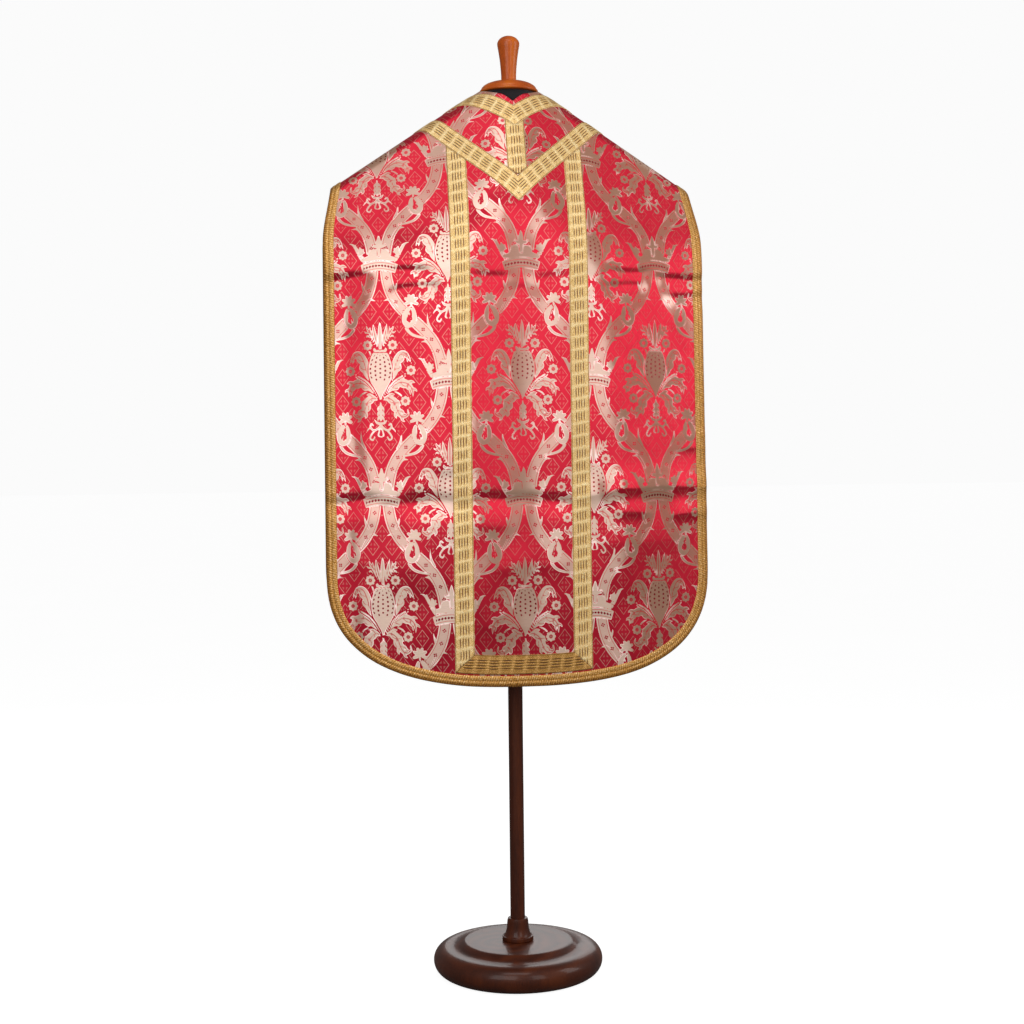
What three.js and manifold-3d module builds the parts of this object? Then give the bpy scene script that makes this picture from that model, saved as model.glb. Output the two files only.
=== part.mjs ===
// Roman chasuble on a limbless dress form with a turned wooden stand.
// Millimetres, +Z up. The origin is the middle of the base's underside; the front faces -Y.
//
// The chasuble is one stiff cloth laid over two sloping shoulders. Its upright threads hang from the shoulder
// ridge, which lies over the stand's axis (y = 0). A point of the cloth is named by two cloth coordinates:
//   x  how far the thread hangs from the middle of the garment
//   v  how far down the thread the point lies, set so that z = RIDGE_TOP - v where the cloth hangs straight
// Every panel, band and binding is a grid of such points, turned into a thin closed shell.

import * as THREE from "three";
import { mergeVertices } from "three/addons/utils/BufferGeometryUtils.js";
import Module from "manifold-3d";

const wasm = await Module();
wasm.setup();

// ---------------------------------------------------------------- driving sizes

const PANEL_WALL = 2.0; // brocade, interlining and lining together
const BAND_WALL = 1.2; // woven galloon
const BAND_LIFT = 0.8; // clearance between a band and the panel under it
const SEAM_GAP = 0.3; // clearance between pieces that meet edge to edge

const BAND_WIDTH = 36; // wide galloon
const BINDING_WIDTH = 19; // narrow galloon round the edge

// The shoulder ridge: a straight slope, rounded over the neck.
const RIDGE_TOP = 1723.5;
const RIDGE_SLOPE = 0.676;
const RIDGE_ROUND = 30;

// The garment's outline.
const HALF_WIDTH = 361;
const SHOULDER_HALF = 345; // half width where the edge crosses the ridge
const TIP_LENGTH = 125; // length of edge in which the shoulder widens to the full half width
const CORNER_TOP = 794; // height where the rounded lower corners begin
const HEM_HEIGHT = 572; // height of the hem in the middle
const CORNER_POWER = 2.7; // a superellipse: 2 would be an ellipse, more is squarer

// The neck opening, seen from above: an ellipse, drawn out to a point in front.
const NECK_HALF_WIDTH = 59.5;
const NECK_HALF_DEPTH = 57.5;
const NECK_POINT = 64; // how far forward the point of the V lies
const NECK_POINT_HALF = 26; // the V leaves the ellipse this far each side of the middle

// How each side hangs: the turn over the shoulder, a lean, a soft bend over the chest and a straight drop.
const LEAN = THREE.MathUtils.degToRad(66); // slope of the leaning stretch, below level
const TURN_RADIUS = { edge: 30, extraAtNeck: 32, reach: 110 };
const BEND_RADIUS = { middle: 400, edge: 200 };
const SIDES = {
  front: { sign: -1, depthMiddle: 150, depthEdge: 72, flareMiddle: 0.014, flareEdge: 0.045 },
  back: { sign: 1, depthMiddle: 142, depthEdge: 72, flareMiddle: 0.016, flareEdge: 0.045 },
};

// Marks of the folds in which the garment was put away, across the whole width.
const STORAGE_FOLDS = [
  { v: 404, depth: -2.2, reach: 15 },
  { v: 432, depth: 1.6, reach: 17 },
  { v: 812, depth: -2.4, reach: 18 },
];

// Bands, by the thread coordinates of their middle line.
const NECK_BAND_FRONT = { middleV: 71, slope: 0.849, rounding: 0, ease: 0.0027 }; // ease: flattens towards the shoulders
const NECK_BAND_BACK = { middleV: 58, slope: 0.849, rounding: 22, ease: 0 };
const YOKE_BAND = { middleV: 229, slope: 1.01, rounding: 0, ease: 0 };
const COLUMN_X = 110.5; // middle line of each upright of the column
const HEM_BAND_RISE = 22; // from the hem up to the lower edge of the hem band

// The stand.
const FORM_GAP = 0.5; // between the form's shoulder line and the cloth that rests on it
const NECK_RADIUS = 50;
const CAP = { radius: 57, rim: 1697, edge: 6, top: 1720 };
const FINIAL = { foot: 14.5, widest: 21.5, top: 1809, shoulder: 1793 };
const POLE_RADIUS = 14;
const FORM_BOTTOM = 870;
const COLLAR = { radius: 30, height: 42 };
const BASE = { radius: 163, height: 50, topRadius: 118, topRise: 10 };

// ---------------------------------------------------------------- finishes

const brocade = (name) => finish(name, 0xa8122c, 0.5, 0.1);
const galloon = (name) => finish(name, 0xd9bc6a, 0.45, 0.4);
const binding = (name) => finish(name, 0xa07a35, 0.5, 0.4);
const jersey = (name) => finish(name, 0x141416, 0.9, 0);
const honeyWood = (name) => finish(name, 0xb45a1c, 0.3, 0);
const darkWood = (name) => finish(name, 0x4a1e10, 0.25, 0);

function finish(name, color, roughness, metalness) {
  return new THREE.MeshStandardMaterial({ name, color, roughness, metalness });
}

// ---------------------------------------------------------------- the cloth's form

const ridgeHeight = (x) => RIDGE_TOP - RIDGE_SLOPE * (Math.hypot(x, RIDGE_ROUND) - RIDGE_ROUND);

// The lengths of one thread's stretches, and the drop of each.
function threadSection(x, side) {
  const across = (x / HALF_WIDTH) ** 2;
  const turn = TURN_RADIUS.edge + TURN_RADIUS.extraAtNeck / (1 + (x / TURN_RADIUS.reach) ** 2);
  const bend = THREE.MathUtils.lerp(BEND_RADIUS.middle, BEND_RADIUS.edge, across);
  const depth = THREE.MathUtils.lerp(side.depthMiddle, side.depthEdge, across);
  const flare = THREE.MathUtils.lerp(side.flareMiddle, side.flareEdge, across);
  const lean = (depth - turn * Math.sin(LEAN) - bend * (1 - Math.sin(LEAN))) / Math.cos(LEAN);
  const turnLength = turn * LEAN;
  const bendLength = bend * (Math.PI / 2 - LEAN);
  const drop = turn * (1 - Math.cos(LEAN)) + lean * Math.sin(LEAN) + bend * Math.cos(LEAN);
  const length = turnLength + lean + bendLength;
  return { turn, bend, flare, lean, turnLength, bendLength, drop, length };
}

// The cloth coordinate v of the ridge above thread x.
function ridgeV(x, side) {
  const section = threadSection(x, side);
  return RIDGE_TOP - ridgeHeight(x) - (section.length - section.drop);
}

// How far forward and down a point lies, a given length down its thread from the ridge.
function alongThread(section, length) {
  const { turn, bend, flare, lean, turnLength } = section;
  const onTurn = THREE.MathUtils.clamp(length / turn, 0, LEAN);
  const onLean = THREE.MathUtils.clamp(length - turnLength, 0, lean);
  const onBend = THREE.MathUtils.clamp((length - turnLength - lean) / bend, 0, Math.PI / 2 - LEAN);
  const straight = Math.max(0, length - section.length);
  const forward =
    turn * Math.sin(onTurn) +
    onLean * Math.cos(LEAN) +
    bend * (Math.sin(LEAN + onBend) - Math.sin(LEAN)) +
    (flare * straight ** 2) / (straight + 150);
  const down =
    turn * (1 - Math.cos(onTurn)) +
    onLean * Math.sin(LEAN) +
    bend * (Math.cos(LEAN) - Math.cos(LEAN + onBend)) +
    straight;
  return { forward, down };
}

function foldDepth(v) {
  return STORAGE_FOLDS.reduce((sum, fold) => sum + fold.depth * Math.exp(-(((v - fold.v) / fold.reach) ** 2)), 0);
}

// The point of the panel's outer face at cloth coordinates x, v.
function clothPoint(x, v, side) {
  const { forward, down } = alongThread(threadSection(x, side), v - ridgeV(x, side));
  const y = side.sign * (forward + SEAM_GAP / 2 + foldDepth(v));
  return new THREE.Vector3(x, y, ridgeHeight(x) - down);
}

// The outward direction there, from two short steps on the cloth.
function clothNormal(x, v, side) {
  const step = 0.5;
  const across = clothPoint(x + step, v, side).sub(clothPoint(x - step, v, side));
  const down = clothPoint(x, v + step, side).sub(clothPoint(x, v, side));
  const normal = across.cross(down).normalize();
  return side.sign * normal.y < 0 ? normal.negate() : normal;
}

// ---------------------------------------------------------------- outlines in cloth coordinates

// The top edge of a panel: the ridge, then the eased shoulder tip.
function topV(x, side) {
  const share = Math.max(0, (Math.abs(x) - SHOULDER_HALF) / (HALF_WIDTH - SHOULDER_HALF));
  return ridgeV(x, side) + (TIP_LENGTH * Math.acos(1 - 2 * share)) / Math.PI;
}

// The bottom edge: a superellipse that joins hem and side edges.
function bottomV(x) {
  const share = Math.abs(x) / (HALF_WIDTH + 1);
  const rise = (CORNER_TOP - HEM_HEIGHT) * (1 - share ** CORNER_POWER) ** (1 / CORNER_POWER);
  return RIDGE_TOP - CORNER_TOP + rise;
}

// ---------------------------------------------------------------- shells

// A closed shell over a grid of cloth points: rows of { x, v }, lifted off the panel's face by lift and wall.
function clothShell(name, material, side, grid, lift, wall) {
  const rows = grid.length;
  const columns = grid[0].length;
  const positions = [];
  for (const height of [lift + wall, lift]) {
    for (const row of grid) {
      for (const { x, v } of row) {
        positions.push(...clothPoint(x, v, side).addScaledVector(clothNormal(x, v, side), height));
      }
    }
  }
  const outer = (row, column) => row * columns + column;
  const inner = (row, column) => rows * columns + outer(row, column);
  const faces = [];
  const quad = (a, b, c, d) => faces.push(a, b, c, a, c, d);
  for (let row = 0; row < rows - 1; row++) {
    for (let column = 0; column < columns - 1; column++) {
      quad(outer(row, column), outer(row + 1, column), outer(row + 1, column + 1), outer(row, column + 1));
      quad(inner(row, column), inner(row, column + 1), inner(row + 1, column + 1), inner(row + 1, column));
    }
  }
  for (let row = 0; row < rows - 1; row++) {
    quad(outer(row + 1, 0), outer(row, 0), inner(row, 0), inner(row + 1, 0));
    quad(outer(row, columns - 1), outer(row + 1, columns - 1), inner(row + 1, columns - 1), inner(row, columns - 1));
  }
  for (let column = 0; column < columns - 1; column++) {
    quad(outer(0, column), outer(0, column + 1), inner(0, column + 1), inner(0, column));
    quad(outer(rows - 1, column + 1), outer(rows - 1, column), inner(rows - 1, column), inner(rows - 1, column + 1));
  }
  const geometry = new THREE.BufferGeometry();
  geometry.setAttribute("position", new THREE.Float32BufferAttribute(positions, 3));
  geometry.setIndex(faces);
  return namedMesh(name, faceOutwards(geometry), material);
}

function namedMesh(name, geometry, material) {
  const mesh = new THREE.Mesh(geometry, material);
  mesh.name = name;
  return mesh;
}

// Turns every face over if the closed surface's signed volume is negative.
function faceOutwards(geometry) {
  const index = geometry.index.array;
  const position = geometry.getAttribute("position");
  const [a, b, c] = [new THREE.Vector3(), new THREE.Vector3(), new THREE.Vector3()];
  let volume = 0;
  for (let corner = 0; corner < index.length; corner += 3) {
    a.fromBufferAttribute(position, index[corner]);
    b.fromBufferAttribute(position, index[corner + 1]);
    c.fromBufferAttribute(position, index[corner + 2]);
    volume += a.dot(b.cross(c));
  }
  if (volume < 0) {
    for (let corner = 0; corner < index.length; corner += 3) {
      [index[corner + 1], index[corner + 2]] = [index[corner + 2], index[corner + 1]];
    }
  }
  return geometry;
}

const mirrored = (halves) => [...halves.slice(1).reverse().map((value) => -value), ...halves];
const steps = (count) => Array.from({ length: count + 1 }, (_, step) => step / count);

// ---------------------------------------------------------------- panels

const PANEL_COLUMNS = mirrored([0, 14, 32, 60, 90, 130, 175, 225, 275, 320, 345, 355, 361]);
const TURN_ROWS = steps(6); // over the shoulder
const BEND_ROWS = steps(4); // from the end of the lean to where all threads hang straight
const HANG_TOP = 375; // v of that line
const HANG_ROWS = [389, 404, 418, 432, 449, 560, 680, 794, 812, 830, 910];
const CORNER_ROWS = [0.3, 0.55, 0.75, 0.9, 1]; // shares of the way from the last of these to the hem

function panelColumn(x, side) {
  const section = threadSection(x, side);
  const top = topV(x, side);
  const turnEnd = Math.max(ridgeV(x, side) + section.turnLength, top + 12);
  const leanEnd = Math.max(ridgeV(x, side) + section.turnLength + section.lean, turnEnd + 12);
  const last = HANG_ROWS.at(-1);
  return [
    ...TURN_ROWS.map((share) => THREE.MathUtils.lerp(top, turnEnd, share)),
    ...BEND_ROWS.map((share) => THREE.MathUtils.lerp(leanEnd, HANG_TOP, share)),
    ...HANG_ROWS,
    ...CORNER_ROWS.map((share) => THREE.MathUtils.lerp(last, bottomV(x), share)),
  ].map((v) => ({ x, v }));
}

function solid(geometry) {
  const bare = geometry.clone();
  bare.deleteAttribute("normal");
  bare.deleteAttribute("uv");
  const merged = mergeVertices(bare);
  return new wasm.Manifold(
    new wasm.Mesh({
      numProp: 3,
      vertProperties: new Float32Array(merged.getAttribute("position").array),
      triVerts: new Uint32Array(merged.index.array),
    }),
  );
}

function geometryOf(manifold) {
  const { vertProperties, triVerts } = manifold.getMesh();
  const geometry = new THREE.BufferGeometry();
  geometry.setAttribute("position", new THREE.Float32BufferAttribute(vertProperties, 3));
  geometry.setIndex([...triVerts]);
  return geometry;
}

// An upright plug of the neck opening's outline, longer than the cloth there is tall.
function neckPlug(side) {
  const outline = steps(24).map((share) => {
    const angle = Math.PI * share;
    const x = NECK_HALF_WIDTH * Math.cos(angle);
    const ellipse = NECK_HALF_DEPTH * Math.sin(angle);
    const start = NECK_HALF_DEPTH * Math.sqrt(1 - (NECK_POINT_HALF / NECK_HALF_WIDTH) ** 2);
    const point = THREE.MathUtils.lerp(NECK_POINT, start, Math.abs(x) / NECK_POINT_HALF);
    return new THREE.Vector2(x, side.sign * (side === SIDES.front ? Math.max(ellipse, point) : ellipse));
  });
  const behind = [-NECK_HALF_WIDTH, NECK_HALF_WIDTH].map((x) => new THREE.Vector2(x, -side.sign * 20));
  const plug = new THREE.ExtrudeGeometry(new THREE.Shape([...outline, ...behind]), { depth: 200, bevelEnabled: false });
  return plug.translate(0, 0, RIDGE_TOP - 150);
}

function panel(name, side) {
  const grid = PANEL_COLUMNS.map((x) => panelColumn(x, side));
  const whole = clothShell(name, brocade(name), side, grid, -PANEL_WALL, PANEL_WALL);
  whole.geometry = geometryOf(solid(whole.geometry).subtract(solid(neckPlug(side))));
  return whole;
}

// ---------------------------------------------------------------- bands

// Stations down a long upright band: close together over the shoulder and at the storage folds.
function uprightStations(from, to) {
  const upper = [];
  for (let v = from + 9; v < Math.min(to, HANG_TOP) - 9; v += v < 70 ? 9 : 26) {
    upper.push(v);
  }
  const lower = [HANG_TOP, ...HANG_ROWS].filter((v) => v > from + 12 && v < to - 12);
  return [...upper, ...lower];
}

function uprightBand(name, side, edges, top, bottom) {
  const from = Math.max(...edges.map(top));
  const to = Math.min(...edges.map(bottom));
  const inside = uprightStations(from, to);
  const blend = inside.findIndex((v) => v > from + 60);
  const grid = edges.map((x) => {
    const rows = inside.map((v, row) =>
      row < blend ? THREE.MathUtils.lerp(top(x), inside[blend], (v - from) / (inside[blend] - from)) : v,
    );
    return [top(x), ...rows, bottom(x)].map((v) => ({ x, v }));
  });
  return clothShell(name, galloon(name), side, grid, BAND_LIFT, BAND_WALL);
}

// A band that falls from both shoulders to the middle: its line at x, offset across the band by a share of its width.
function slopingV(band, x, offset) {
  const run = Math.hypot(x, band.rounding);
  const fall = band.rounding > 0 ? (band.slope * Math.abs(x)) / run : band.slope;
  const slope = fall - 2 * band.ease * Math.abs(x);
  const line = band.middleV - band.slope * (run - band.rounding) + band.ease * x * x;
  return line + offset * BAND_WIDTH * Math.hypot(1, slope);
}

// Where such a line meets the shoulder ridge.
function reachesRidge(band, offset, side) {
  let low = 30;
  let high = 300;
  for (let halving = 0; halving < 40; halving++) {
    const middle = (low + high) / 2;
    if (slopingV(band, middle, offset) > ridgeV(middle, side)) {
      low = middle;
    } else {
      high = middle;
    }
  }
  return low;
}

function slopingBand(name, side, band, stationsPerSide) {
  const spread = mirrored(steps(stationsPerSide).map((share) => 1 - (1 - share) ** 1.5));
  const offsets = [-0.5, -0.2, 0.15, 0.5];
  const grid = spread.map((share) =>
    offsets.map((offset) => {
      const x = share * reachesRidge(band, offset, side);
      return { x, v: slopingV(band, x, offset) };
    }),
  );
  return clothShell(name, galloon(name), side, grid, BAND_LIFT, BAND_WALL);
}

const yokeLowerEdge = (x) => slopingV(YOKE_BAND, x, 0.5) + SEAM_GAP * 2;
const yokeUpperEdge = (x) => slopingV(YOKE_BAND, x, -0.5) - SEAM_GAP * 2;
const neckLowerEdge = (x) => slopingV(NECK_BAND_FRONT, x, 0.5) + SEAM_GAP * 2;
const backColumnTop = (x) => {
  const underNeckBand = slopingV(NECK_BAND_BACK, x, 0.5) + SEAM_GAP * 3;
  return Math.max(ridgeV(x, SIDES.back), underNeckBand);
};

// The hem band's lower edge runs beside the hem, its ends are mitred into the two uprights.
const hemBandLower = (x) => bottomV(x) - HEM_BAND_RISE;
const hemBandUpper = (x) => hemBandLower(x) - BAND_WIDTH;

function mitreV(x) {
  const share = (Math.abs(x) - (COLUMN_X - BAND_WIDTH / 2)) / BAND_WIDTH;
  return THREE.MathUtils.lerp(hemBandUpper(COLUMN_X - BAND_WIDTH / 2), hemBandLower(COLUMN_X + BAND_WIDTH / 2), share);
}

function hemBand(name, side) {
  const [innerX, outerX] = [COLUMN_X - BAND_WIDTH / 2, COLUMN_X + BAND_WIDTH / 2];
  const spread = mirrored(steps(4));
  const grid = spread.map((share) => {
    const upperX = share * (innerX - SEAM_GAP);
    const lowerX = share * (outerX - SEAM_GAP);
    return [
      { x: upperX, v: hemBandUpper(upperX) + SEAM_GAP },
      { x: lowerX, v: hemBandLower(lowerX) },
    ];
  });
  return clothShell(name, galloon(name), side, grid, BAND_LIFT, BAND_WALL);
}

// ---------------------------------------------------------------- edge binding

// Points of the outline from the shoulder tip to the middle of the hem, each with the point a binding's width inside.
function bindingStations(side) {
  const stations = [];
  const tipSteps = 12;
  for (let step = 0; step <= tipSteps; step++) {
    const share = step / tipSteps;
    const outerX = THREE.MathUtils.lerp(SHOULDER_HALF, HALF_WIDTH, (1 - Math.cos(Math.PI * share)) / 2) - 0.5;
    const innerX = outerX - BINDING_WIDTH;
    const outerV = ridgeV(outerX, side) + share * TIP_LENGTH;
    const alongRidge = ridgeV(innerX, side) + share * TIP_LENGTH;
    stations.push([outerX, outerV, innerX, THREE.MathUtils.lerp(alongRidge, outerV, Math.max(0, 2 * share - 1))]);
  }
  const cornerV = RIDGE_TOP - CORNER_TOP;
  const straightX = HALF_WIDTH - 0.5;
  for (const v of uprightStations(stations.at(-1)[1], cornerV)) {
    stations.push([straightX, v, straightX - BINDING_WIDTH, v]);
  }
  const halfWidth = HALF_WIDTH - 0.5;
  const height = CORNER_TOP - HEM_HEIGHT - 0.5;
  const cornerSteps = 16;
  for (let step = 0; step <= cornerSteps; step++) {
    const angle = (Math.PI / 2) * (step / cornerSteps);
    const x = halfWidth * Math.cos(angle) ** (2 / CORNER_POWER);
    const drop = height * Math.sin(angle) ** (2 / CORNER_POWER);
    const normal = new THREE.Vector2(
      (x / halfWidth) ** (CORNER_POWER - 1) / halfWidth,
      (drop / height) ** (CORNER_POWER - 1) / height,
    ).normalize();
    const innerX = Math.max(0, x - BINDING_WIDTH * normal.x);
    stations.push([x, cornerV + drop, innerX, cornerV + drop - BINDING_WIDTH * normal.y]);
  }
  return stations;
}

function edgeBinding(name, side) {
  const half = bindingStations(side).map(([outerX, outerV, innerX, innerV]) => [
    { x: outerX, v: outerV },
    { x: innerX, v: innerV },
  ]);
  const other = half
    .slice(0, -1)
    .reverse()
    .map((pair) => pair.map(({ x, v }) => ({ x: -x, v })));
  return clothShell(name, binding(name), side, [...half, ...other], BAND_LIFT, BAND_WALL);
}

// ---------------------------------------------------------------- the stand

function turned(name, material, profile, segments) {
  const points = profile.map(([radius, height]) => new THREE.Vector2(radius, height));
  const geometry = new THREE.LatheGeometry(points, segments);
  geometry.rotateX(Math.PI / 2);
  return namedMesh(name, geometry, material);
}

// A rounded edge of a turned piece: points on a part of a circle, by its middle, radius and two angles in degrees.
function roundEdge(radius, height, size, fromDegrees, toDegrees, count) {
  return steps(count).map((share) => {
    const angle = THREE.MathUtils.degToRad(THREE.MathUtils.lerp(fromDegrees, toDegrees, share));
    return [radius + size * Math.cos(angle), height + size * Math.sin(angle)];
  });
}

function base() {
  const nose = BASE.height / 2;
  const bead = roundEdge(BASE.radius - nose, nose, nose, -90, 90, 8);
  const profile = [
    [0, 0],
    ...bead,
    [BASE.topRadius, BASE.height + 2],
    [BASE.topRadius - 14, BASE.height + BASE.topRise],
    [0, BASE.height + BASE.topRise],
  ];
  return turned("base", darkWood("base"), profile, 48);
}

function poleCollar() {
  const foot = BASE.height + BASE.topRise + SEAM_GAP;
  const bore = POLE_RADIUS + SEAM_GAP;
  const profile = [
    [bore, foot],
    [COLLAR.radius, foot],
    [COLLAR.radius, foot + 8],
    [COLLAR.radius - 9, foot + COLLAR.height - 8],
    [COLLAR.radius - 11, foot + COLLAR.height],
    [bore, foot + COLLAR.height],
    [bore, foot],
  ];
  return turned("pole_collar", darkWood("pole_collar"), profile, 32);
}

function pole() {
  const foot = BASE.height + BASE.topRise + SEAM_GAP;
  const head = FORM_BOTTOM - SEAM_GAP;
  const profile = [
    [0, foot],
    [POLE_RADIUS, foot],
    [POLE_RADIUS, head],
    [0, head],
  ];
  return turned("pole", darkWood("pole"), profile, 24);
}

function neckCap() {
  const lip = CAP.edge / 2;
  const dome = steps(5).map((share) => {
    const angle = (Math.PI / 2) * share;
    const flat = FINIAL.foot + 3;
    return [
      flat + (CAP.radius - lip - flat) * Math.cos(angle) ** 1.2,
      CAP.rim + CAP.edge + (CAP.top - CAP.rim - CAP.edge) * Math.sin(angle),
    ];
  });
  const profile = [[0, CAP.rim], ...roundEdge(CAP.radius - lip, CAP.rim + lip, lip, -90, 60, 4), ...dome, [0, CAP.top]];
  return turned("neck_cap", honeyWood("neck_cap"), profile, 40);
}

function finial() {
  const foot = CAP.top + SEAM_GAP;
  const crown = steps(5).map((share) => {
    const angle = (Math.PI / 2) * share;
    return [FINIAL.widest * Math.cos(angle), FINIAL.shoulder + (FINIAL.top - FINIAL.shoulder) * Math.sin(angle)];
  });
  crown[crown.length - 1][0] = 0;
  const profile = [[0, foot], [FINIAL.foot, foot], [FINIAL.foot + 2.6, (foot + FINIAL.shoulder) / 2], ...crown];
  return turned("finial", honeyWood("finial"), profile, 28);
}

// The dress form: rings from the hips up to the neck. Its shoulder line runs just under the cloth's ridge.
const FORM_RINGS = [
  { z: FORM_BOTTOM, halfWidth: 164, halfDepth: 106 },
  { z: 885, halfWidth: 171, halfDepth: 112 },
  { z: 960, halfWidth: 174, halfDepth: 114 },
  { z: 1060, halfWidth: 158, halfDepth: 103 },
  { z: 1150, halfWidth: 146, halfDepth: 98 },
  { z: 1250, halfWidth: 156, halfDepth: 106 },
  { z: 1350, halfWidth: 171, halfDepth: 108 },
  { z: 1420, halfWidth: 179, halfDepth: 101 },
  { z: 1480, halfWidth: 184, halfDepth: 90 },
  { z: 1530, halfWidth: 186, halfDepth: 77 },
  { z: 1570, halfWidth: 187, halfDepth: 62 },
  { z: 1596, halfWidth: 186, halfDepth: 48 },
];
const SHOULDER_RINGS = [
  { z: 1614, halfDepth: 41 },
  { z: 1628, halfDepth: 39 },
  { z: 1642, halfDepth: 38.5 },
  { z: 1656, halfDepth: 39 },
  { z: 1668, halfDepth: 40.5 },
];
const NECK_RINGS = [
  { z: 1679, halfWidth: 57, halfDepth: 44 },
  { z: CAP.rim - SEAM_GAP, halfWidth: NECK_RADIUS, halfDepth: 46 },
];

function dressForm() {
  const under = PANEL_WALL * Math.hypot(1, RIDGE_SLOPE) + FORM_GAP;
  const shoulders = SHOULDER_RINGS.map(({ z, halfDepth }) => {
    const run = (RIDGE_TOP - under - z) / RIDGE_SLOPE + RIDGE_ROUND;
    return { z, halfWidth: Math.sqrt(run ** 2 - RIDGE_ROUND ** 2), halfDepth };
  });
  const rings = [...FORM_RINGS, ...shoulders, ...NECK_RINGS];
  const segments = 32;
  const positions = [];
  for (const { z, halfWidth, halfDepth } of rings) {
    for (let segment = 0; segment < segments; segment++) {
      const angle = (2 * Math.PI * segment) / segments;
      positions.push(halfWidth * Math.cos(angle), halfDepth * Math.sin(angle), z);
    }
  }
  const faces = [];
  for (let ring = 0; ring < rings.length - 1; ring++) {
    for (let segment = 0; segment < segments; segment++) {
      const next = (segment + 1) % segments;
      const [a, b] = [ring * segments + segment, ring * segments + next];
      faces.push(a, b, b + segments, a, b + segments, a + segments);
    }
  }
  const ends = [
    [0, rings[0].z],
    [(rings.length - 1) * segments, rings.at(-1).z],
  ];
  ends.forEach(([first, z], end) => {
    const middle = positions.length / 3;
    positions.push(0, 0, z);
    for (let segment = 0; segment < segments; segment++) {
      const [a, b] = [first + segment, first + ((segment + 1) % segments)];
      faces.push(...(end === 0 ? [middle, b, a] : [middle, a, b]));
    }
  });
  const geometry = new THREE.BufferGeometry();
  geometry.setAttribute("position", new THREE.Float32BufferAttribute(positions, 3));
  geometry.setIndex(faces);
  return namedMesh("dress_form", faceOutwards(geometry), jersey("dress_form"));
}

// ---------------------------------------------------------------- assembly

const { front, back } = SIDES;

const garment = new THREE.Group();
garment.add(
  panel("front_panel", front),
  panel("back_panel", back),
  slopingBand("neck_band_front", front, NECK_BAND_FRONT, 11),
  slopingBand("neck_band_back", back, NECK_BAND_BACK, 11),
  slopingBand("yoke_band", front, YOKE_BAND, 18),
  uprightBand("centre_band", front, [-BAND_WIDTH / 2, 0, BAND_WIDTH / 2], neckLowerEdge, yokeUpperEdge),
  hemBand("hem_band", front),
  hemBand("back_hem_band", back),
  edgeBinding("front_edge_binding", front),
  edgeBinding("back_edge_binding", back),
);
const [columnInner, columnOuter] = [COLUMN_X - BAND_WIDTH / 2, COLUMN_X + BAND_WIDTH / 2];
const neckBandEnd = reachesRidge(NECK_BAND_BACK, 0.5, back);
for (const [hand, way] of [
  ["left", -1],
  ["right", 1],
]) {
  const edges = [way * columnInner, way * columnOuter];
  const backEdges = [edges[0], (edges[0] + way * neckBandEnd) / 2, way * neckBandEnd, edges[1]];
  garment.add(uprightBand(`column_band_${hand}`, front, edges, yokeLowerEdge, mitreV));
  garment.add(uprightBand(`back_column_band_${hand}`, back, backEdges, backColumnTop, mitreV));
}

const stand = new THREE.Group();
stand.add(base(), poleCollar(), pole(), dressForm(), neckCap(), finial());

const group = new THREE.Group();
group.add(garment, stand);

export default group;
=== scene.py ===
# %% [markdown]
# # A Roman chasuble on a dress form
#
# A chasuble is the outer garment that a priest wears at Mass. The Roman cut has no sleeves: one stiff front
# and one stiff back hang from the shoulders, and the sides stay open. This one is woven brocade, a red
# satin with its figures in metallic thread, trimmed with gold galloon and carried by a limbless dress form
# on a turned stand.
#
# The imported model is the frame. It gives every piece its place, and each visible piece below is a fine
# surface that stands where the frame's plain solid stands.

# %% The frame
from functools import partial

import bmesh
import bpy
import numpy as np
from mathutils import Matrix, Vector


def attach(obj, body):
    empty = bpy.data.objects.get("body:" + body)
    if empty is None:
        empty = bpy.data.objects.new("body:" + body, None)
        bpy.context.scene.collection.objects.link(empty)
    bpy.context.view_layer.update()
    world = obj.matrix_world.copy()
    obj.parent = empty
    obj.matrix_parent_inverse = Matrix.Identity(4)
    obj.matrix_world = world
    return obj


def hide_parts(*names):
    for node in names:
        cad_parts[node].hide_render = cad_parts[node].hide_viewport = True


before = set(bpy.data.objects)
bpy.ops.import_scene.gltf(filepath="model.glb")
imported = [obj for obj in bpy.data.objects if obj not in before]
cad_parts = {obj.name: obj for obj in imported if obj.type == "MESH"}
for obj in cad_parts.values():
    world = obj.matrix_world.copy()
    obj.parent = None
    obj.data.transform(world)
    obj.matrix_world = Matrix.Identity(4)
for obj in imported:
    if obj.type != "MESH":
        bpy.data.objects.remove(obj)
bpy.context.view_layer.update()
print("nodes:", ", ".join(sorted(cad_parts)))

# %% [markdown]
# ## Helpers
#
# Lengths below are in millimetres, the unit of a dressmaker's chart, and one factor turns them into Blender's
# metres when a mesh is made. Colours are given as sRGB hex values, but shaders work in linear light, so one
# function converts them. One function adds a shader node with its inputs and settings. Every rib and twist
# is a sine.

# %% Units, colours and shader nodes
MM = 0.001


def linear(hex_colour):
    """Linear RGBA of an sRGB hex colour: each channel through the sRGB curve's inverse."""
    channels = np.array([int(hex_colour[i : i + 2], 16) / 255 for i in (1, 3, 5)])
    straight = np.where(channels <= 0.04045, channels / 12.92, ((channels + 0.055) / 1.055) ** 2.4)
    return (*straight, 1.0)


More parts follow.
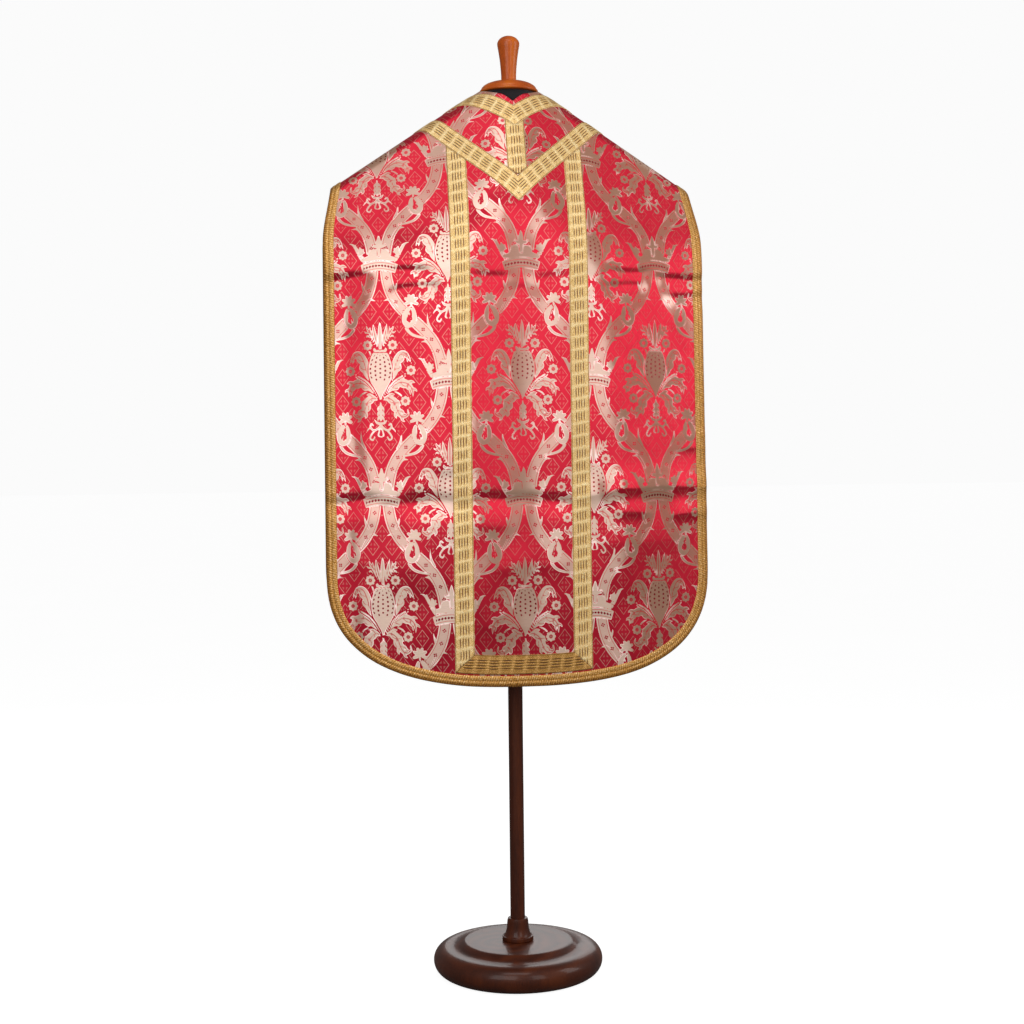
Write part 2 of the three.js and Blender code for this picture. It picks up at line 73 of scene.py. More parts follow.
def add(owner, kind, *inputs, **settings):
    """Adds a shader node and returns it. Its kind may carry its operation, as in "Math.MULTIPLY".

    Inputs go to the node's sockets in order: None leaves one alone, a node gives its first output in use, a
    socket is linked, hex text is a colour and anything else is a value. A setting named like a socket (with _
    for a space) sets that socket, and the others are set on the node, in the order given."""
    tree = owner.node_tree
    kind, _, operation = kind.partition(".")
    node = tree.nodes.new("ShaderNode" + kind)
    if operation:
        node.operation = operation
    sockets = list(zip(node.inputs, inputs))
    for key, value in settings.items():
        name = key.replace("_", " ")
        if name in node.inputs:
            sockets.append((node.inputs[name], value))
        else:
            setattr(node, key, value)
    for socket, value in sockets:
        if isinstance(value, bpy.types.Node):
            value = next(output for output in value.outputs if output.enabled)
        if isinstance(value, bpy.types.NodeSocket):
            tree.links.new(value, socket)
        elif value is not None:
            socket.default_value = linear(value) if str(value).startswith("#") else value
    return node


def set_stops(ramp, low, dark, middle, high, light):
    """Gives a colour ramp three stops: two ends at their positions, and one at a half between them."""
    stops = ramp.color_ramp.elements
    stops[0].position, stops[0].color = low, linear(dark)
    stops[1].position, stops[1].color = high, linear(light)
    stops.new(0.5).color = linear(middle)
    return ramp


def wave(node, value, step):
    """The sine of a value in millimetres, which comes round at every step."""
    return node("Math.SINE", node("Math.MULTIPLY", value, 2 * np.pi / step))


def new_material(name):
    """An empty node material."""
    material = bpy.data.materials.new(name)
    material.use_nodes = True
    material.node_tree.nodes.clear()
    return material


print("white is", linear("#FFFFFF"))

# %% [markdown]
# ## Surfaces from numpy
#
# Every new piece is a grid of points, worked out at once as arrays. A mesh takes such a grid directly: its
# points go in with `foreach_set`, and each face joins four neighbours. A tube closes the grid across, and
# its two ends are capped, so that no seam is left open.


# %% Meshes from grids of points
def grid_mesh(name, points, material, closed=False, capped=False, fields=None, flip=False):
    """A mesh over points (rows, columns, 3) in millimetres, with one face between each four neighbours.

    closed joins the last column to the first; capped closes the first and last row of such a tube with one
    face each. fields are named vector attributes (rows, columns, 3). flip turns the faces over."""
    rows, columns = points.shape[:2]
    index = np.arange(rows * columns).reshape(rows, columns)
    ring = np.concatenate([index, index[:, :1]], axis=1) if closed else index
    corners = [ring[:-1, :-1], ring[1:, :-1], ring[1:, 1:], ring[:-1, 1:]]
    faces = np.stack(corners[::-1] if flip else corners, axis=-1).reshape(-1, 4)
    loops = faces.ravel()
    sizes = np.full(len(faces), 4)
    if capped:
        ends = [index[0], index[-1][::-1]]
        ends = [end[::-1] for end in ends] if flip else ends
        loops = np.concatenate([loops, *ends])
        sizes = np.append(sizes, [columns, columns])
    mesh = bpy.data.meshes.new(name)
    mesh.vertices.add(rows * columns)
    mesh.vertices.foreach_set("co", (points * MM).astype(np.float32).ravel())
    mesh.loops.add(len(loops))
    mesh.loops.foreach_set("vertex_index", loops.astype(np.int32))
    mesh.polygons.add(len(sizes))
    mesh.polygons.foreach_set("loop_start", np.concatenate([[0], np.cumsum(sizes)[:-1]]).astype(np.int32))
    mesh.polygons.foreach_set("loop_total", sizes.astype(np.int32))
    mesh.update(calc_edges=True)
    mesh.shade_smooth()
    for field, values in (fields or {}).items():
        attribute = mesh.attributes.new(field, "FLOAT_VECTOR", "POINT")
        attribute.data.foreach_set("vector", values.astype(np.float32).ravel())
    mesh.materials.append(material)
    piece = bpy.data.objects.new(name, mesh)
    bpy.context.scene.collection.objects.link(piece)
    print(f"{name}: {rows} x {columns} points, {(sizes - 2).sum()} triangles")
    return piece


def close_outwards(piece):
    """Turns a closed piece's faces outwards."""
    shell = bmesh.new()
    shell.from_mesh(piece.data)
    bmesh.ops.recalc_face_normals(shell, faces=shell.faces)
    shell.to_mesh(piece.data)
    shell.free()


def blend(start, end, share):
    """The value a share of the way from start to end."""
    return start + (end - start) * share


# %% [markdown]
# ## The cloth's form
#
# Brocade with interlining and lining is stiff, so the garment keeps one simple form. Its upright threads
# hang from the shoulder ridge: each turns over the ridge, leans down over the chest, bends and then falls
# straight. Two cloth coordinates name a point: x, how far its thread hangs from the middle, and v, how far
# down the thread it lies. The same few lengths shaped the frame's solids, so what is drawn here lies on
# them.

# %% Sizes of the garment
RIDGE_TOP, RIDGE_SLOPE, RIDGE_ROUND = 1723.5, 0.676, 30.0
HALF_WIDTH, SHOULDER_HALF, TIP_LENGTH = 361.0, 345.0, 125.0
CORNER_TOP, HEM_HEIGHT, CORNER_POWER = 794.0, 572.0, 2.7
NECK_HALF_WIDTH, NECK_HALF_DEPTH, NECK_POINT, NECK_POINT_HALF = 59.5, 57.5, 64.0, 26.0
LEAN = np.radians(66)
TURN_EDGE, TURN_EXTRA, TURN_REACH = 30.0, 32.0, 110.0
BEND_MIDDLE, BEND_EDGE = 400.0, 200.0
FLARE_REACH = 150.0
CUT_EASE = 0.031
SEAM_HALF, WALL = 0.15, 2.0
FRONT = dict(sign=-1, depth_middle=150, depth_edge=72, flare_middle=0.014, flare_edge=0.045)
BACK = dict(sign=1, depth_middle=142, depth_edge=72, flare_middle=0.016, flare_edge=0.045)


# %% Threads that hang from the ridge
def ridge_height(x):
    """Height of the shoulder ridge: a straight slope, rounded in the middle by a hyperbola."""
    return RIDGE_TOP - RIDGE_SLOPE * (np.hypot(x, RIDGE_ROUND) - RIDGE_ROUND)


def thread(x, side):
    """The radii and lengths of a thread's stretches: turn, straight lean, bend, and the drop of all three."""
    across = (x / HALF_WIDTH) ** 2
    turn = TURN_EDGE + TURN_EXTRA / (1 + (x / TURN_REACH) ** 2)
    bend = blend(BEND_MIDDLE, BEND_EDGE, across)
    depth = blend(side["depth_middle"], side["depth_edge"], across)
    flare = blend(side["flare_middle"], side["flare_edge"], across)
    lean = (depth - turn * np.sin(LEAN) - bend * (1 - np.sin(LEAN))) / np.cos(LEAN)
    length = turn * LEAN + lean + bend * (np.pi / 2 - LEAN)
    drop = turn * (1 - np.cos(LEAN)) + lean * np.sin(LEAN) + bend * np.cos(LEAN)
    return turn, bend, flare, lean, length, drop


def ridge_v(x, side):
    """The cloth coordinate v at the ridge, so that height = RIDGE_TOP - v where the cloth hangs straight."""
    turn, bend, flare, lean, length, drop = thread(x, side)
    return RIDGE_TOP - ridge_height(x) - (length - drop)


def hang(x, v, side):
    """How far forward and down a point lies: an arc, a slope, a second arc and a straight, flared drop."""
    turn, bend, flare, lean, length, drop = thread(x, side)
    run = v - ridge_v(x, side)
    on_turn = np.clip(run / turn, 0, LEAN)
    on_lean = np.clip(run - turn * LEAN, 0, lean)
    on_bend = np.clip((run - turn * LEAN - lean) / bend, 0, np.pi / 2 - LEAN)
    straight = np.maximum(0, run - length)
    forward = turn * np.sin(on_turn) + on_lean * np.cos(LEAN)
    forward = forward + bend * (np.sin(LEAN + on_bend) - np.sin(LEAN))
    forward = forward + flare * straight**2 / (straight + FLARE_REACH)
    down = turn * (1 - np.cos(on_turn)) + on_lean * np.sin(LEAN)
    down = down + bend * (np.cos(LEAN) - np.cos(LEAN + on_bend)) + straight
    return forward, down


print("ridge at the middle, edge:", ridge_height(0.0), round(float(ridge_height(SHOULDER_HALF)), 1))

# %% [markdown]
# ## Creases placed one by one
#
# A stiff vestment is put away folded in three, and the fold marks stay in two rows across the width: short
# troughs, and on one side of the lower row short ridges. Softer ones lie between and below them. Each row
# of the first chart is one crease: a line from one cloth point to another, with its depth (a trough is
# negative) and its reach to each side.
#
# The second chart holds slow hollows and swells that run down the threads. The middle column stands out at
# one gold upright and sinks at the other, so its figures catch the lamps on one half only.

# %% The chart of creases
# start x, start v, end x, end v, depth, reach
FRONT_CREASES = np.array(
    [
        (-372, 400, -278, 395, -5.2, 13),
        (-235, 385, -165, 382, -5.2, 11),
        (-236, 421, -150, 414, -6.0, 13),
        (-372, 434, -290, 430, -2.2, 11),
        (-190, 393, -100, 401, -1.5, 13),
        (-92, 393, -20, 398, -2.7, 10),
        (-70, 425, 30, 421, -1.8, 11),
        (25, 400, 92, 396, -2.1, 11),
        (112, 392, 176, 396, -1.7, 11),
        (172, 386, 252, 385, -4.6, 10),
        (162, 414, 242, 412, -5.6, 11),
        (262, 397, 372, 394, -4.8, 10),
        (288, 431, 372, 428, -5.0, 11),
        (-372, 814, -262, 806, -3.4, 11),
        (-270, 822, -190, 813, -2, 14),
        (-205, 810, -95, 816, -3.9, 15),
        (-84, 806, 22, 805, -3.2, 10),
        (36, 812, 92, 814, -3.2, 11),
        (108, 803, 170, 799, 3, 12),
        (160, 799, 196, 789, 4.2, 14),
        (185, 789, 372, 787, 5.6, 15),
        (180, 836, 240, 836, 3.0, 11),
        (290, 842, 372, 839, 3.6, 12),
        (-160, 764, -100, 772, -1.8, 17),
        (308, 697, 372, 695, 1.6, 8),
        (300, 716, 372, 718, 1.6, 8),
        (-372, 838, -100, 846, 1, 20),
        (-92, 852, -14, 858, 1.1, 15),
        (-60, 934, 84, 930, 1.1, 18),
        (-88, 1040, 6, 1042, 1, 18),
        (150, 892, 330, 884, 1.6, 32),
        (-340, 915, -190, 935, 1, 24),
        (-250, 1000, -130, 985, -0.9, 26),
        (180, 1010, 300, 1000, -0.9, 26),
        (-330, 520, -180, 575, -0.7, 30),
        (190, 560, 320, 500, -0.8, 30),
    ],
    float,
)
# middle x, half width, depth, v where it starts, v where it is full
FRONT_SWELLS = np.array(
    [
        (-96, 56, 3.4, 250, 470),
        (110, 48, -3.8, 250, 470),
        (-318, 18, -2.5, 330, 500),
        (-276, 18, 1.5, 300, 500),
        (-190, 44, 1.0, 420, 700),
        (216, 44, 1.4, 320, 620),
        (322, 24, -1.2, 420, 700),
    ],
    float,
)
# The back was folded with the front, so it has the mirrored chart, a little moved and softened.
BACK_CREASES = FRONT_CREASES * (-1, 1, -1, 1, 0.85, 1.1) + (14, 9, 14, 9, 0, 0)
BACK_SWELLS = FRONT_SWELLS * (-1, 1, 0.8, 1, 1) + (10, 0, 0, 20, 20)
FRONT.update(creases=FRONT_CREASES, swells=FRONT_SWELLS)
BACK.update(creases=BACK_CREASES, swells=BACK_SWELLS)
# a crease's waver and the length of its faded ends, how far its soft side reaches, and the plain strip at
# the hem
WAVER, FADE, SOFT_SIDE = 1.6, 40.0, 1.9
STILL_HEM, HEM_EASE = 60.0, 130.0


def smooth(share):
    """A soft step from 0 to 1."""
    share = np.clip(share, 0, 1)
    return share * share * (3 - 2 * share)


def relief(x, v, side):
    """How far the cloth stands out: each crease is a bell across its line that fades past its ends, a ridge
    steep below its line and a trough steep above it. Each swell is a bell across the threads that grows down
    them, and a faint cockle of three sine waves runs over all of it."""
    out = 0.35 * np.sin(x / 23 + v / 61) * np.sin(v / 47 - x / 90) + 0.25 * np.sin(x / 13.5 - v / 140)
    for x0, v0, x1, v1, depth, reach in side["creases"]:
        dx, dv = x1 - x0, v1 - v0
        length = np.hypot(dx, dv)
        along = ((x - x0) * dx + (v - v0) * dv) / length
        off = ((v - v0) * dx - (x - x0) * dv) / length + WAVER * np.sin(along / 21 + v0)
        ends = smooth(along / FADE + 0.5) * smooth((length - along) / FADE + 0.5)
        u = off / reach
        soft = (u / SOFT_SIDE) ** 2
        below, above = (u * u / (0.3 + np.abs(u)), soft) if depth > 0 else (soft, u * u)
        out = out + depth * ends * np.exp(-np.where(u > 0, below, above))
    for middle, half, depth, start, full in side["swells"]:
        line = middle + 6 * np.sin(v / 62 + middle)
        grown = smooth((v - start) / (full - start)) * (0.85 + 0.15 * np.cos(v / 43 + 2 * middle))
        out = out + depth * grown * np.exp(-(((x - line) / half) ** 2))
    return out * smooth((v - STILL_HEM) / HEM_EASE)


# %% Points and normals of the cloth
def cloth_point(x, v, side):
    """The point of the outer face at cloth coordinates x, v."""
    x, v = np.broadcast_arrays(np.asarray(x, float), np.asarray(v, float))
    forward, down = hang(x, v, side)
    y = side["sign"] * (forward + SEAM_HALF + relief(x, v, side))
    return np.stack([x, y, ridge_height(x) - down], axis=-1)


def cloth_lifted(x, v, side, lift):
    """The point a given height off the outer face, along the normal from two short steps on the cloth."""
    step = 0.4
    across = cloth_point(x + step, v, side) - cloth_point(x - step, v, side)
    down = cloth_point(x, v + step, side) - cloth_point(x, v - step, side)
    normal = np.cross(across, down) * -side["sign"]
    normal = normal / np.linalg.norm(normal, axis=-1, keepdims=True)
    normal = normal * np.sign(normal[..., 1:2] * side["sign"] + 1e-9)
    return cloth_point(x, v, side) + normal * np.asarray(lift, float)[..., None]


middle = cloth_point(np.array([0.0]), np.array([600.0]), FRONT)
print("front middle, 600 mm down:", middle.round(1))


# %% [markdown]
# ## Outlines
#
# The panel's top edge follows the neckline, then the shoulder seam, then an eased tip. Its bottom edge is a
# superellipse, the squarish curve that gives the front its fiddle outline.

# %% Edges of the panels
def neck_v(x, side):
    """Where the neckline crosses a thread: seen from above it is an ellipse, drawn to a point in front. The
    run down the thread that reaches that far forward is found by halving."""
    x = np.abs(x)
    inside = np.minimum(x / NECK_HALF_WIDTH, 1)
    reach = NECK_HALF_DEPTH * np.sqrt(1 - inside**2)
    if side is FRONT:
        start = NECK_HALF_DEPTH * np.sqrt(1 - (NECK_POINT_HALF / NECK_HALF_WIDTH) ** 2)
        reach = np.maximum(reach, blend(NECK_POINT, start, x / NECK_POINT_HALF) * (x < NECK_POINT_HALF))
    low, high = np.zeros_like(x), np.full_like(x, 200.0)
    for _ in range(40):
        half = (low + high) / 2
        short = hang(x, ridge_v(x, side) + half, side)[0] < reach
        low, high = np.where(short, half, low), np.where(short, high, half)
    return ridge_v(x, side) + low


def top_v(x, side):
    """The top edge: neckline, shoulder seam, and the tip in which the shoulder widens by a cosine."""
    share = np.clip((np.abs(x) - SHOULDER_HALF) / (HALF_WIDTH - SHOULDER_HALF), 0, 1)
    tip = ridge_v(x, side) + TIP_LENGTH * np.arccos(1 - 2 * share) / np.pi
    return np.where(np.abs(x) < NECK_HALF_WIDTH, neck_v(x, side), tip)


def bottom_v(x):
    """The bottom edge: a superellipse from the side edges to the hem."""
    share = np.clip(np.abs(x) / (HALF_WIDTH + 1), 0, 1)
    drop = (CORNER_TOP - HEM_HEIGHT) * (1 - share**CORNER_POWER) ** (1 / CORNER_POWER)
    return RIDGE_TOP - CORNER_TOP + drop


def cut_width(x):
    """Place across the flat cloth: a side curves back, so the cut is a little wider than it looks."""
    return x * (1 + CUT_EASE * (x / HALF_WIDTH) ** 2)


print("front length in the middle:", float((bottom_v(np.zeros(1)) - top_v(np.zeros(1), FRONT))[0].round(1)))

# %% [markdown]
# ## Drawing the brocade
#
# The figures are a traditional ogee brocade: two ribbons part and meet under crowns, and each space between
# them holds a thistle-like bulb with acanthus leaves. Seen along its axis, every column mirrors itself, and
# the next column is the same, dropped by half a repeat. So half a column is drawn once, as tapered strokes,
# and folding the cloth's coordinates repeats it.
#
# A stroke is a smooth curve with its own half-width. Each cloth point gets a signed distance to the nearest
# stroke, negative inside. A mesh carries distances well, because they change evenly, and the material later
# turns them into sharp edges.

# %% Strokes, leaves and their distances
REPEAT_WIDE, REPEAT_TALL = 257.0, 430.0
HALF_WIDE, HALF_TALL = REPEAT_WIDE / 2, REPEAT_TALL / 2
# a distance that stands for "nowhere near", and the finest half-width of a stroke
FAR, FINEST = 60.0, 0.25


def curve_through(rows, spans=6):
    """Points (across, down, half-width) on a Catmull-Rom curve, which passes through every row given."""
    rows = np.array(rows, float)
    rows = np.vstack([2 * rows[0] - rows[1], rows, 2 * rows[-1] - rows[-2]])
    t = np.linspace(0, 1, spans, endpoint=False)[:, None]
    pieces = [
        (2 * q + (r - p) * t + (2 * p - 5 * q + 4 * r - s) * t**2 + (3 * q - p - 3 * r + s) * t**3) / 2
        for p, q, r, s in zip(rows[:-3], rows[1:-2], rows[2:-1], rows[3:])
    ]
    line = np.vstack(pieces + [rows[-2:-1]])
    line[:, 2] = np.maximum(line[:, 2], FINEST)
    return line


def distances(a, b, line):
    """Distance to a tapered line, negative inside it, and the distance to its middle, signed by the hand."""
    cover, side = np.full(a.shape, FAR), np.full(a.shape, FAR)
    for (a0, b0, r0), (a1, b1, r1) in zip(line[:-1], line[1:]):
        da, db = a1 - a0, b1 - b0
        t = np.clip(((a - a0) * da + (b - b0) * db) / (da * da + db * db + 1e-9), 0, 1)
        pa, pb = a - a0 - t * da, b - b0 - t * db
        off = np.hypot(pa, pb)
        side = np.where(off < np.abs(side), np.where(da * pb - db * pa >= 0, off, -off), side)
        cover = np.minimum(cover, off - (r0 + t * (r1 - r0)))
    return cover, side


def stroke(*rows):
    """A figure of one stroke, through rows of (across, down, half-width)."""
    return [curve_through(rows)]


def turned_by(way, angle):
    """A direction turned by an angle."""
    return np.array([[np.cos(angle), -np.sin(angle)], [np.sin(angle), np.cos(angle)]]) @ way


def leaf(rows, lobes, reach, hands, first, last, fan=0.95):
    """An acanthus leaf: a tapered spine, and pointed lobes that leave it forwards on one or both hands."""
    main = curve_through(rows)
    lines = [main]
    for place in np.linspace(first, last, lobes) * (len(main) - 1):
        i = int(place)
        root = main[i] + (place - i) * (main[min(i + 1, len(main) - 1)] - main[i])
        way = main[min(i + 2, len(main) - 1), :2] - main[max(i - 1, 0), :2]
        way = way / np.hypot(*way)
        for hand in hands:
            elbow = root[:2] + turned_by(way, hand * fan) * (0.75 * root[2] + 0.45 * reach)
            tip = root[:2] + turned_by(way, hand * 0.62 * fan) * (root[2] + reach)
            lobe = [(*root[:2], 0.75 * root[2] + 0.6), (*elbow, 0.42 * root[2] + 0.9), (*tip, 0.3)]
            lines.append(curve_through(lobe, 4))
    return lines


def petals(a, b, angles, near, far):
    """Round petals that fan from one point, each a short stroke that swells and stops."""
    lines = []
    for t in np.radians(angles):
        s, c = np.sin(t), -np.cos(t)
        lines += stroke((a, b, 1.6), (a + near * s, b + near * c, 3.2), (a + far * s, b + far * c, 2.7))
    return lines


print("a test stroke has", len(stroke((0, 0, 1), (5, 5, 2), (10, 0, 1))[0]), "points")

# %% [markdown]
# ### The chart of figures
#
# Each figure stands on those before it, with a thin line of ground kept round it, as a weaver's chart does,
# so that overlapping leaves stay apart. Across is counted from the column's axis and down from the crown's
# beads.

# %% The chart of figures
UPPER_LEAF = leaf(
    [
        (19, 206, 3), (26, 190, 7.5), (31, 173, 8), (38, 159, 6), (47, 156, 3.8), (54, 164, 2.4),
        (59, 176, 0.4),
    ],
    5, 8, (1,), 0.2, 0.84,
)
MIDDLE_LEAF = leaf(
    [(8, 231, 2.4), (22, 218, 6), (38, 210, 7.6), (52, 213, 5.4), (60, 223, 3), (62, 238, 0.4)],
    4, 9, (-1, 1), 0.2, 0.78,
)
LOWER_LEAF = leaf(
    [
        (5, 240, 2.4), (15, 238, 5.6), (26, 246, 7.6), (31, 259, 6.4), (37, 270, 4), (45, 273, 2.8),
        (52, 268, 2), (51, 260, 1.2),
    ],
    4, 9, (-1, 1), 0.14, 0.62,
)
TENDRILS = (
    stroke((44, 90, 1.5), (29, 67, 2.6), (18, 57.5, 2), (6, 61, 0.3))
    + stroke((26, 46, 2.2), (31, 37, 2.2), (35, 21, 0.3))
    + stroke((98, 116, 2.2), (91, 101, 2), (90, 83, 0.3))
    + stroke((103, 158, 2.2), (94, 143, 2.6), (86, 136, 1.8), (75, 137, 0.3))
)
DROP = (
    stroke((60, 71, 2.4), (52, 79, 4.2), (47.5, 90, 5.4), (49, 101, 5.2), (54, 106, 4.4))
    + stroke((61, 71, 2.4), (65, 82, 3.8), (65, 94, 4.6), (60, 103, 4.8), (54, 106, 4.4))
)
DROP_SLIT = (
    stroke((60.5, 73, 0.5), (58.5, 82, 1), (57, 92, 1.3), (56, 100, 1.2))
    + stroke((57.5, 88, 0.8), (53, 92, 1.4), (51.5, 97, 0.9))
    + stroke((57.5, 88, 0.8), (60.5, 93, 1.5), (59.5, 99, 0.8))
)
STEMS = (
    stroke((2, 244, 1.2), (12, 225, 1.5), (27, 207, 1.5), (50, 193, 1.5))
    + stroke((15, 168, 1.5), (19, 156, 1.5), (24, 146, 1.5))
    + stroke((26, 226, 1.2), (36, 231, 1.5), (44, 240, 1.5))
)
SCROLLS = (
    stroke((0, 287, 1.6), (6, 294, 1.9), (14, 297, 1.9), (20, 291, 1.8), (18.5, 285, 1.6), (14.5, 288, 1.3))
    + stroke((10, 296, 1.5), (17, 303, 1.7), (21, 311, 1.5), (16, 315, 1.5), (12, 309, 1.2))
    + stroke((20, 291, 1.2), (25, 296, 1.3), (29, 302, 0.4))
    + stroke((0, 287, 1.4), (3, 298, 1.4), (5, 306, 1.6), (1.5, 309, 1))
)
TUFT_LOW = stroke((6, 147, 1.6), (13, 134, 2.8), (18, 126, 2.4), (24, 124, 1.6), (28, 128, 0.4))
TUFT_OUTER = (
    stroke((5, 146, 1.6), (12, 130, 3), (18, 119, 3.2), (24, 111, 2), (26, 105, 0.4))
    + stroke((18, 119, 2.2), (19, 112, 1.6), (18, 106, 0.4))
    + stroke((20, 117, 2), (27, 118, 1.4), (31, 114, 0.4))
)
PRONG = (
    stroke((29, -9, 4.6), (36, -19, 4.2), (41, -28, 3.4), (46, -36, 2.6), (51, -41.5, 1.6), (58, -43.5, 0.4))
    + stroke((43, -32, 2.6), (45.5, -38, 1.8), (45.5, -43, 0.4))
)
PRONG_LEAF = (
    stroke((39, -21, 2.6), (34.5, -25, 4.6), (35.5, -31, 3), (37.5, -37, 0.4))
    + stroke((34, -26, 3.4), (30.5, -30, 2), (29, -33, 0.4))
    + stroke((33, -25, 3), (29, -25.5, 1.8), (26.5, -25, 0.4))
)
FLEUR = (
    stroke((0, -20, 2.4), (0, -34, 3.6), (0, -44, 4.4), (0, -52, 3), (0, -60, 0.4))
    + stroke((0, -38, 3.4), (7, -37, 3), (11.5, -40, 0.8))
)
FOOT = leaf([(0, 246, 1.2), (0, 258, 2.8), (0, 270, 2.6), (0, 279, 1.8)], 3, 9, (-1,), 0.2, 0.72)
# the fruit: how far down and how wide to each side
BULB = [
    (154, 8.5), (162, 14.5), (170, 19), (185, 22.6), (198, 21), (209, 15.5), (220, 10), (231, 4.5), (243, 0.4)
]
# name, strokes, ground kept round it (None cuts it out of what is there), whether a vein runs along its spine
FIGURES = [
    ("tendrils", TENDRILS, 0, False),
    ("tail", stroke((49, 99, 3.4), (51, 112, 3), (60, 122, 2.6), (73, 127, 2.2), (88, 130, 1.2)), 1.2, False),
    ("drop", DROP, 1.3, False),
    ("drop_slit", DROP_SLIT, None, False),
    ("pink_neck", stroke((60, 71, 1.6), (60, 63, 2.2), (60, 58, 3)), 1.5, False),
    ("pink", petals(60, 62, (-112, -62, -20, 20, 62, 112), 7, 12), 0.6, False),
    ("stems", STEMS, 1.7, False),
    ("lower_leaf", LOWER_LEAF, 2.0, True),
    ("middle_leaf", MIDDLE_LEAF, 2.0, True),
    ("upper_leaf", UPPER_LEAF, 2.0, True),
    ("stem_over", stroke((1, 244, 1), (11, 226, 1.3), (26, 208, 1.4), (42, 198, 1.4)), 1.9, False),
    ("foot", FOOT, 1.8, False),
    ("cup", stroke((0, 285, 2.2), (7, 283.5, 2.2), (12.5, 277, 0.6)), 1, False),
    ("scrolls", SCROLLS, 0, False),
    ("bulb", stroke(*((0, down, half) for down, half in BULB)), 2.3, False),
    ("collar", stroke((0, 149.5, 4.2), (9, 149.5, 4.2)), 1.7, False),
    ("tuft_low", TUFT_LOW, 1.5, False),
    ("tuft_outer", TUFT_OUTER, 1.7, True),
    ("tuft_inner", stroke((3, 146, 1.6), (8, 129, 3.4), (11.5, 115, 3.2), (13, 102, 0.4)), 1.7, True),
    ("tuft_top", stroke((0, 147, 2.2), (0, 127, 4), (0, 112, 3.4), (0, 96, 0.3)), 1.7, True),
]
CROWN = [
    ("prong", PRONG, 1.2, False),
    ("prong_leaf", PRONG_LEAF, 0.8, False),
    ("cap", [np.array([(0, -20, 12), (9, -20, 11.5), (17, -13.5, 6), (32, -11, 3.4)], float)], 1, False),
    ("fleur", FLEUR, 1.2, False),
]
ROSETTES = np.array([(24, 141), (58, 188), (47, 244)], float)
print(len(FIGURES), "figures,", len(CROWN), "in the crown,", len(ROSETTES), "rosettes a side")

# %% [markdown]
# ### Folding the cloth onto the chart
#
# A point of the cloth is folded about its column's axis and wrapped down the repeat, once for the column
# and once for the column half a repeat lower, and the nearer figure wins.

# %% Distances over the whole cloth
RIBBON_SPREAD, RIBBON_MIDDLE, RIBBON_EASE, RIBBON_HALF = 54.5, 97.0, 50.0, 11.0
RIBBON_START, RIBBON_END = 1.0, 207.0
BAND_BOW, BAND_HALF, BAND_END, BAND_SLANT, CROWN_LIFT = 0.0060, 9.2, 33.2, 0.3, 5.5
BEADS_END = 31.0
ROSETTE_REACH, ROSETTE_GROUND = 9.6, 1.4
# how far the chart reaches over a crown, and the dotted part of a fruit: rim, greatest half-width, start, end
CHART_TOP = 95.0
FRUIT_RIM, FRUIT_HALF, FRUIT_TOP, FRUIT_END = 1.6, 22.6, 157.0, 206.0
# a vein's distance where there is none, and how much finer a lobe's vein is than a spine's
NO_VEIN, LOBE_VEIN = 3.0, 0.22


def ribbon(a, b):
    """Across, along and past-the-end coordinates of the ribbon, whose middle swings out as a hyperbolic
    tangent. Three Newton steps find the nearest point of the middle line."""

    def offset(down):
        return HALF_WIDE / 2 + RIBBON_SPREAD * np.tanh((down - RIBBON_MIDDLE) / RIBBON_EASE)

    def slope(down):
        return RIBBON_SPREAD / RIBBON_EASE / np.cosh((down - RIBBON_MIDDLE) / RIBBON_EASE) ** 2

    foot = b
    for _ in range(3):
        k = slope(foot)
        foot = foot + ((b - foot) + (a - offset(foot)) * k) / (1 + k * k)
    out, down = a - offset(foot), b - foot
    across = np.sign(out - down * slope(foot)) * np.hypot(out, down)
    table = np.linspace(-60, 290, 351)
    run = np.concatenate([[0], np.cumsum(np.hypot(1, slope((table[1:] + table[:-1]) / 2)))])
    return across, np.interp(foot, table, run), np.maximum(RIBBON_START - foot, foot - RIBBON_END)


def compose(a, b, chart, fields):
    """Lays each figure of a chart over the fields: it clears its halo of ground, then adds its own cover."""
    for name, lines, halo, veined in chart:
        margin = (halo or 0) + NO_VEIN
        points = np.vstack(lines)
        low = (points[:, :2] - points[:, 2:]).min(axis=0) - margin
        high = (points[:, :2] + points[:, 2:]).max(axis=0) + margin
        near = (a > low[0]) & (a < high[0]) & (b > low[1]) & (b < high[1])
        if not near.any():
            continue
        found = [distances(a[near], b[near], line) for line in lines]
        cover = np.minimum.reduce([each[0] for each in found])
        figure = fields["figure"][near]
        if halo is None:
            fields["figure"][near] = np.maximum(figure, -cover)
            continue
        fields["figure"][near] = np.minimum(np.maximum(figure, halo - cover), cover)
        lines_off = [np.abs(found[0][1])] + [np.abs(each[1]) + LOBE_VEIN for each in found[1:]]
        vein = np.clip(np.minimum.reduce(lines_off), 0, NO_VEIN) if veined else NO_VEIN
        fields["vein"][near] = np.where(cover < halo, vein, fields["vein"][near])
        if halo:
            fields["ribbon"][near] = np.maximum(fields["ribbon"][near], halo - cover)


# the vector attributes that carry the distances and local coordinates, and the numbers in each
FIELD_GROUPS = dict(
    figure=("figure", "vein"),
    ribbon=("across", "along", "ribbon"),
    bulb=("bulb_across", "bulb_down", "bulb"),
    rosette=("rosette_across", "rosette_down", "rosette"),
    bead=("bead_across", "bead_down"),
)


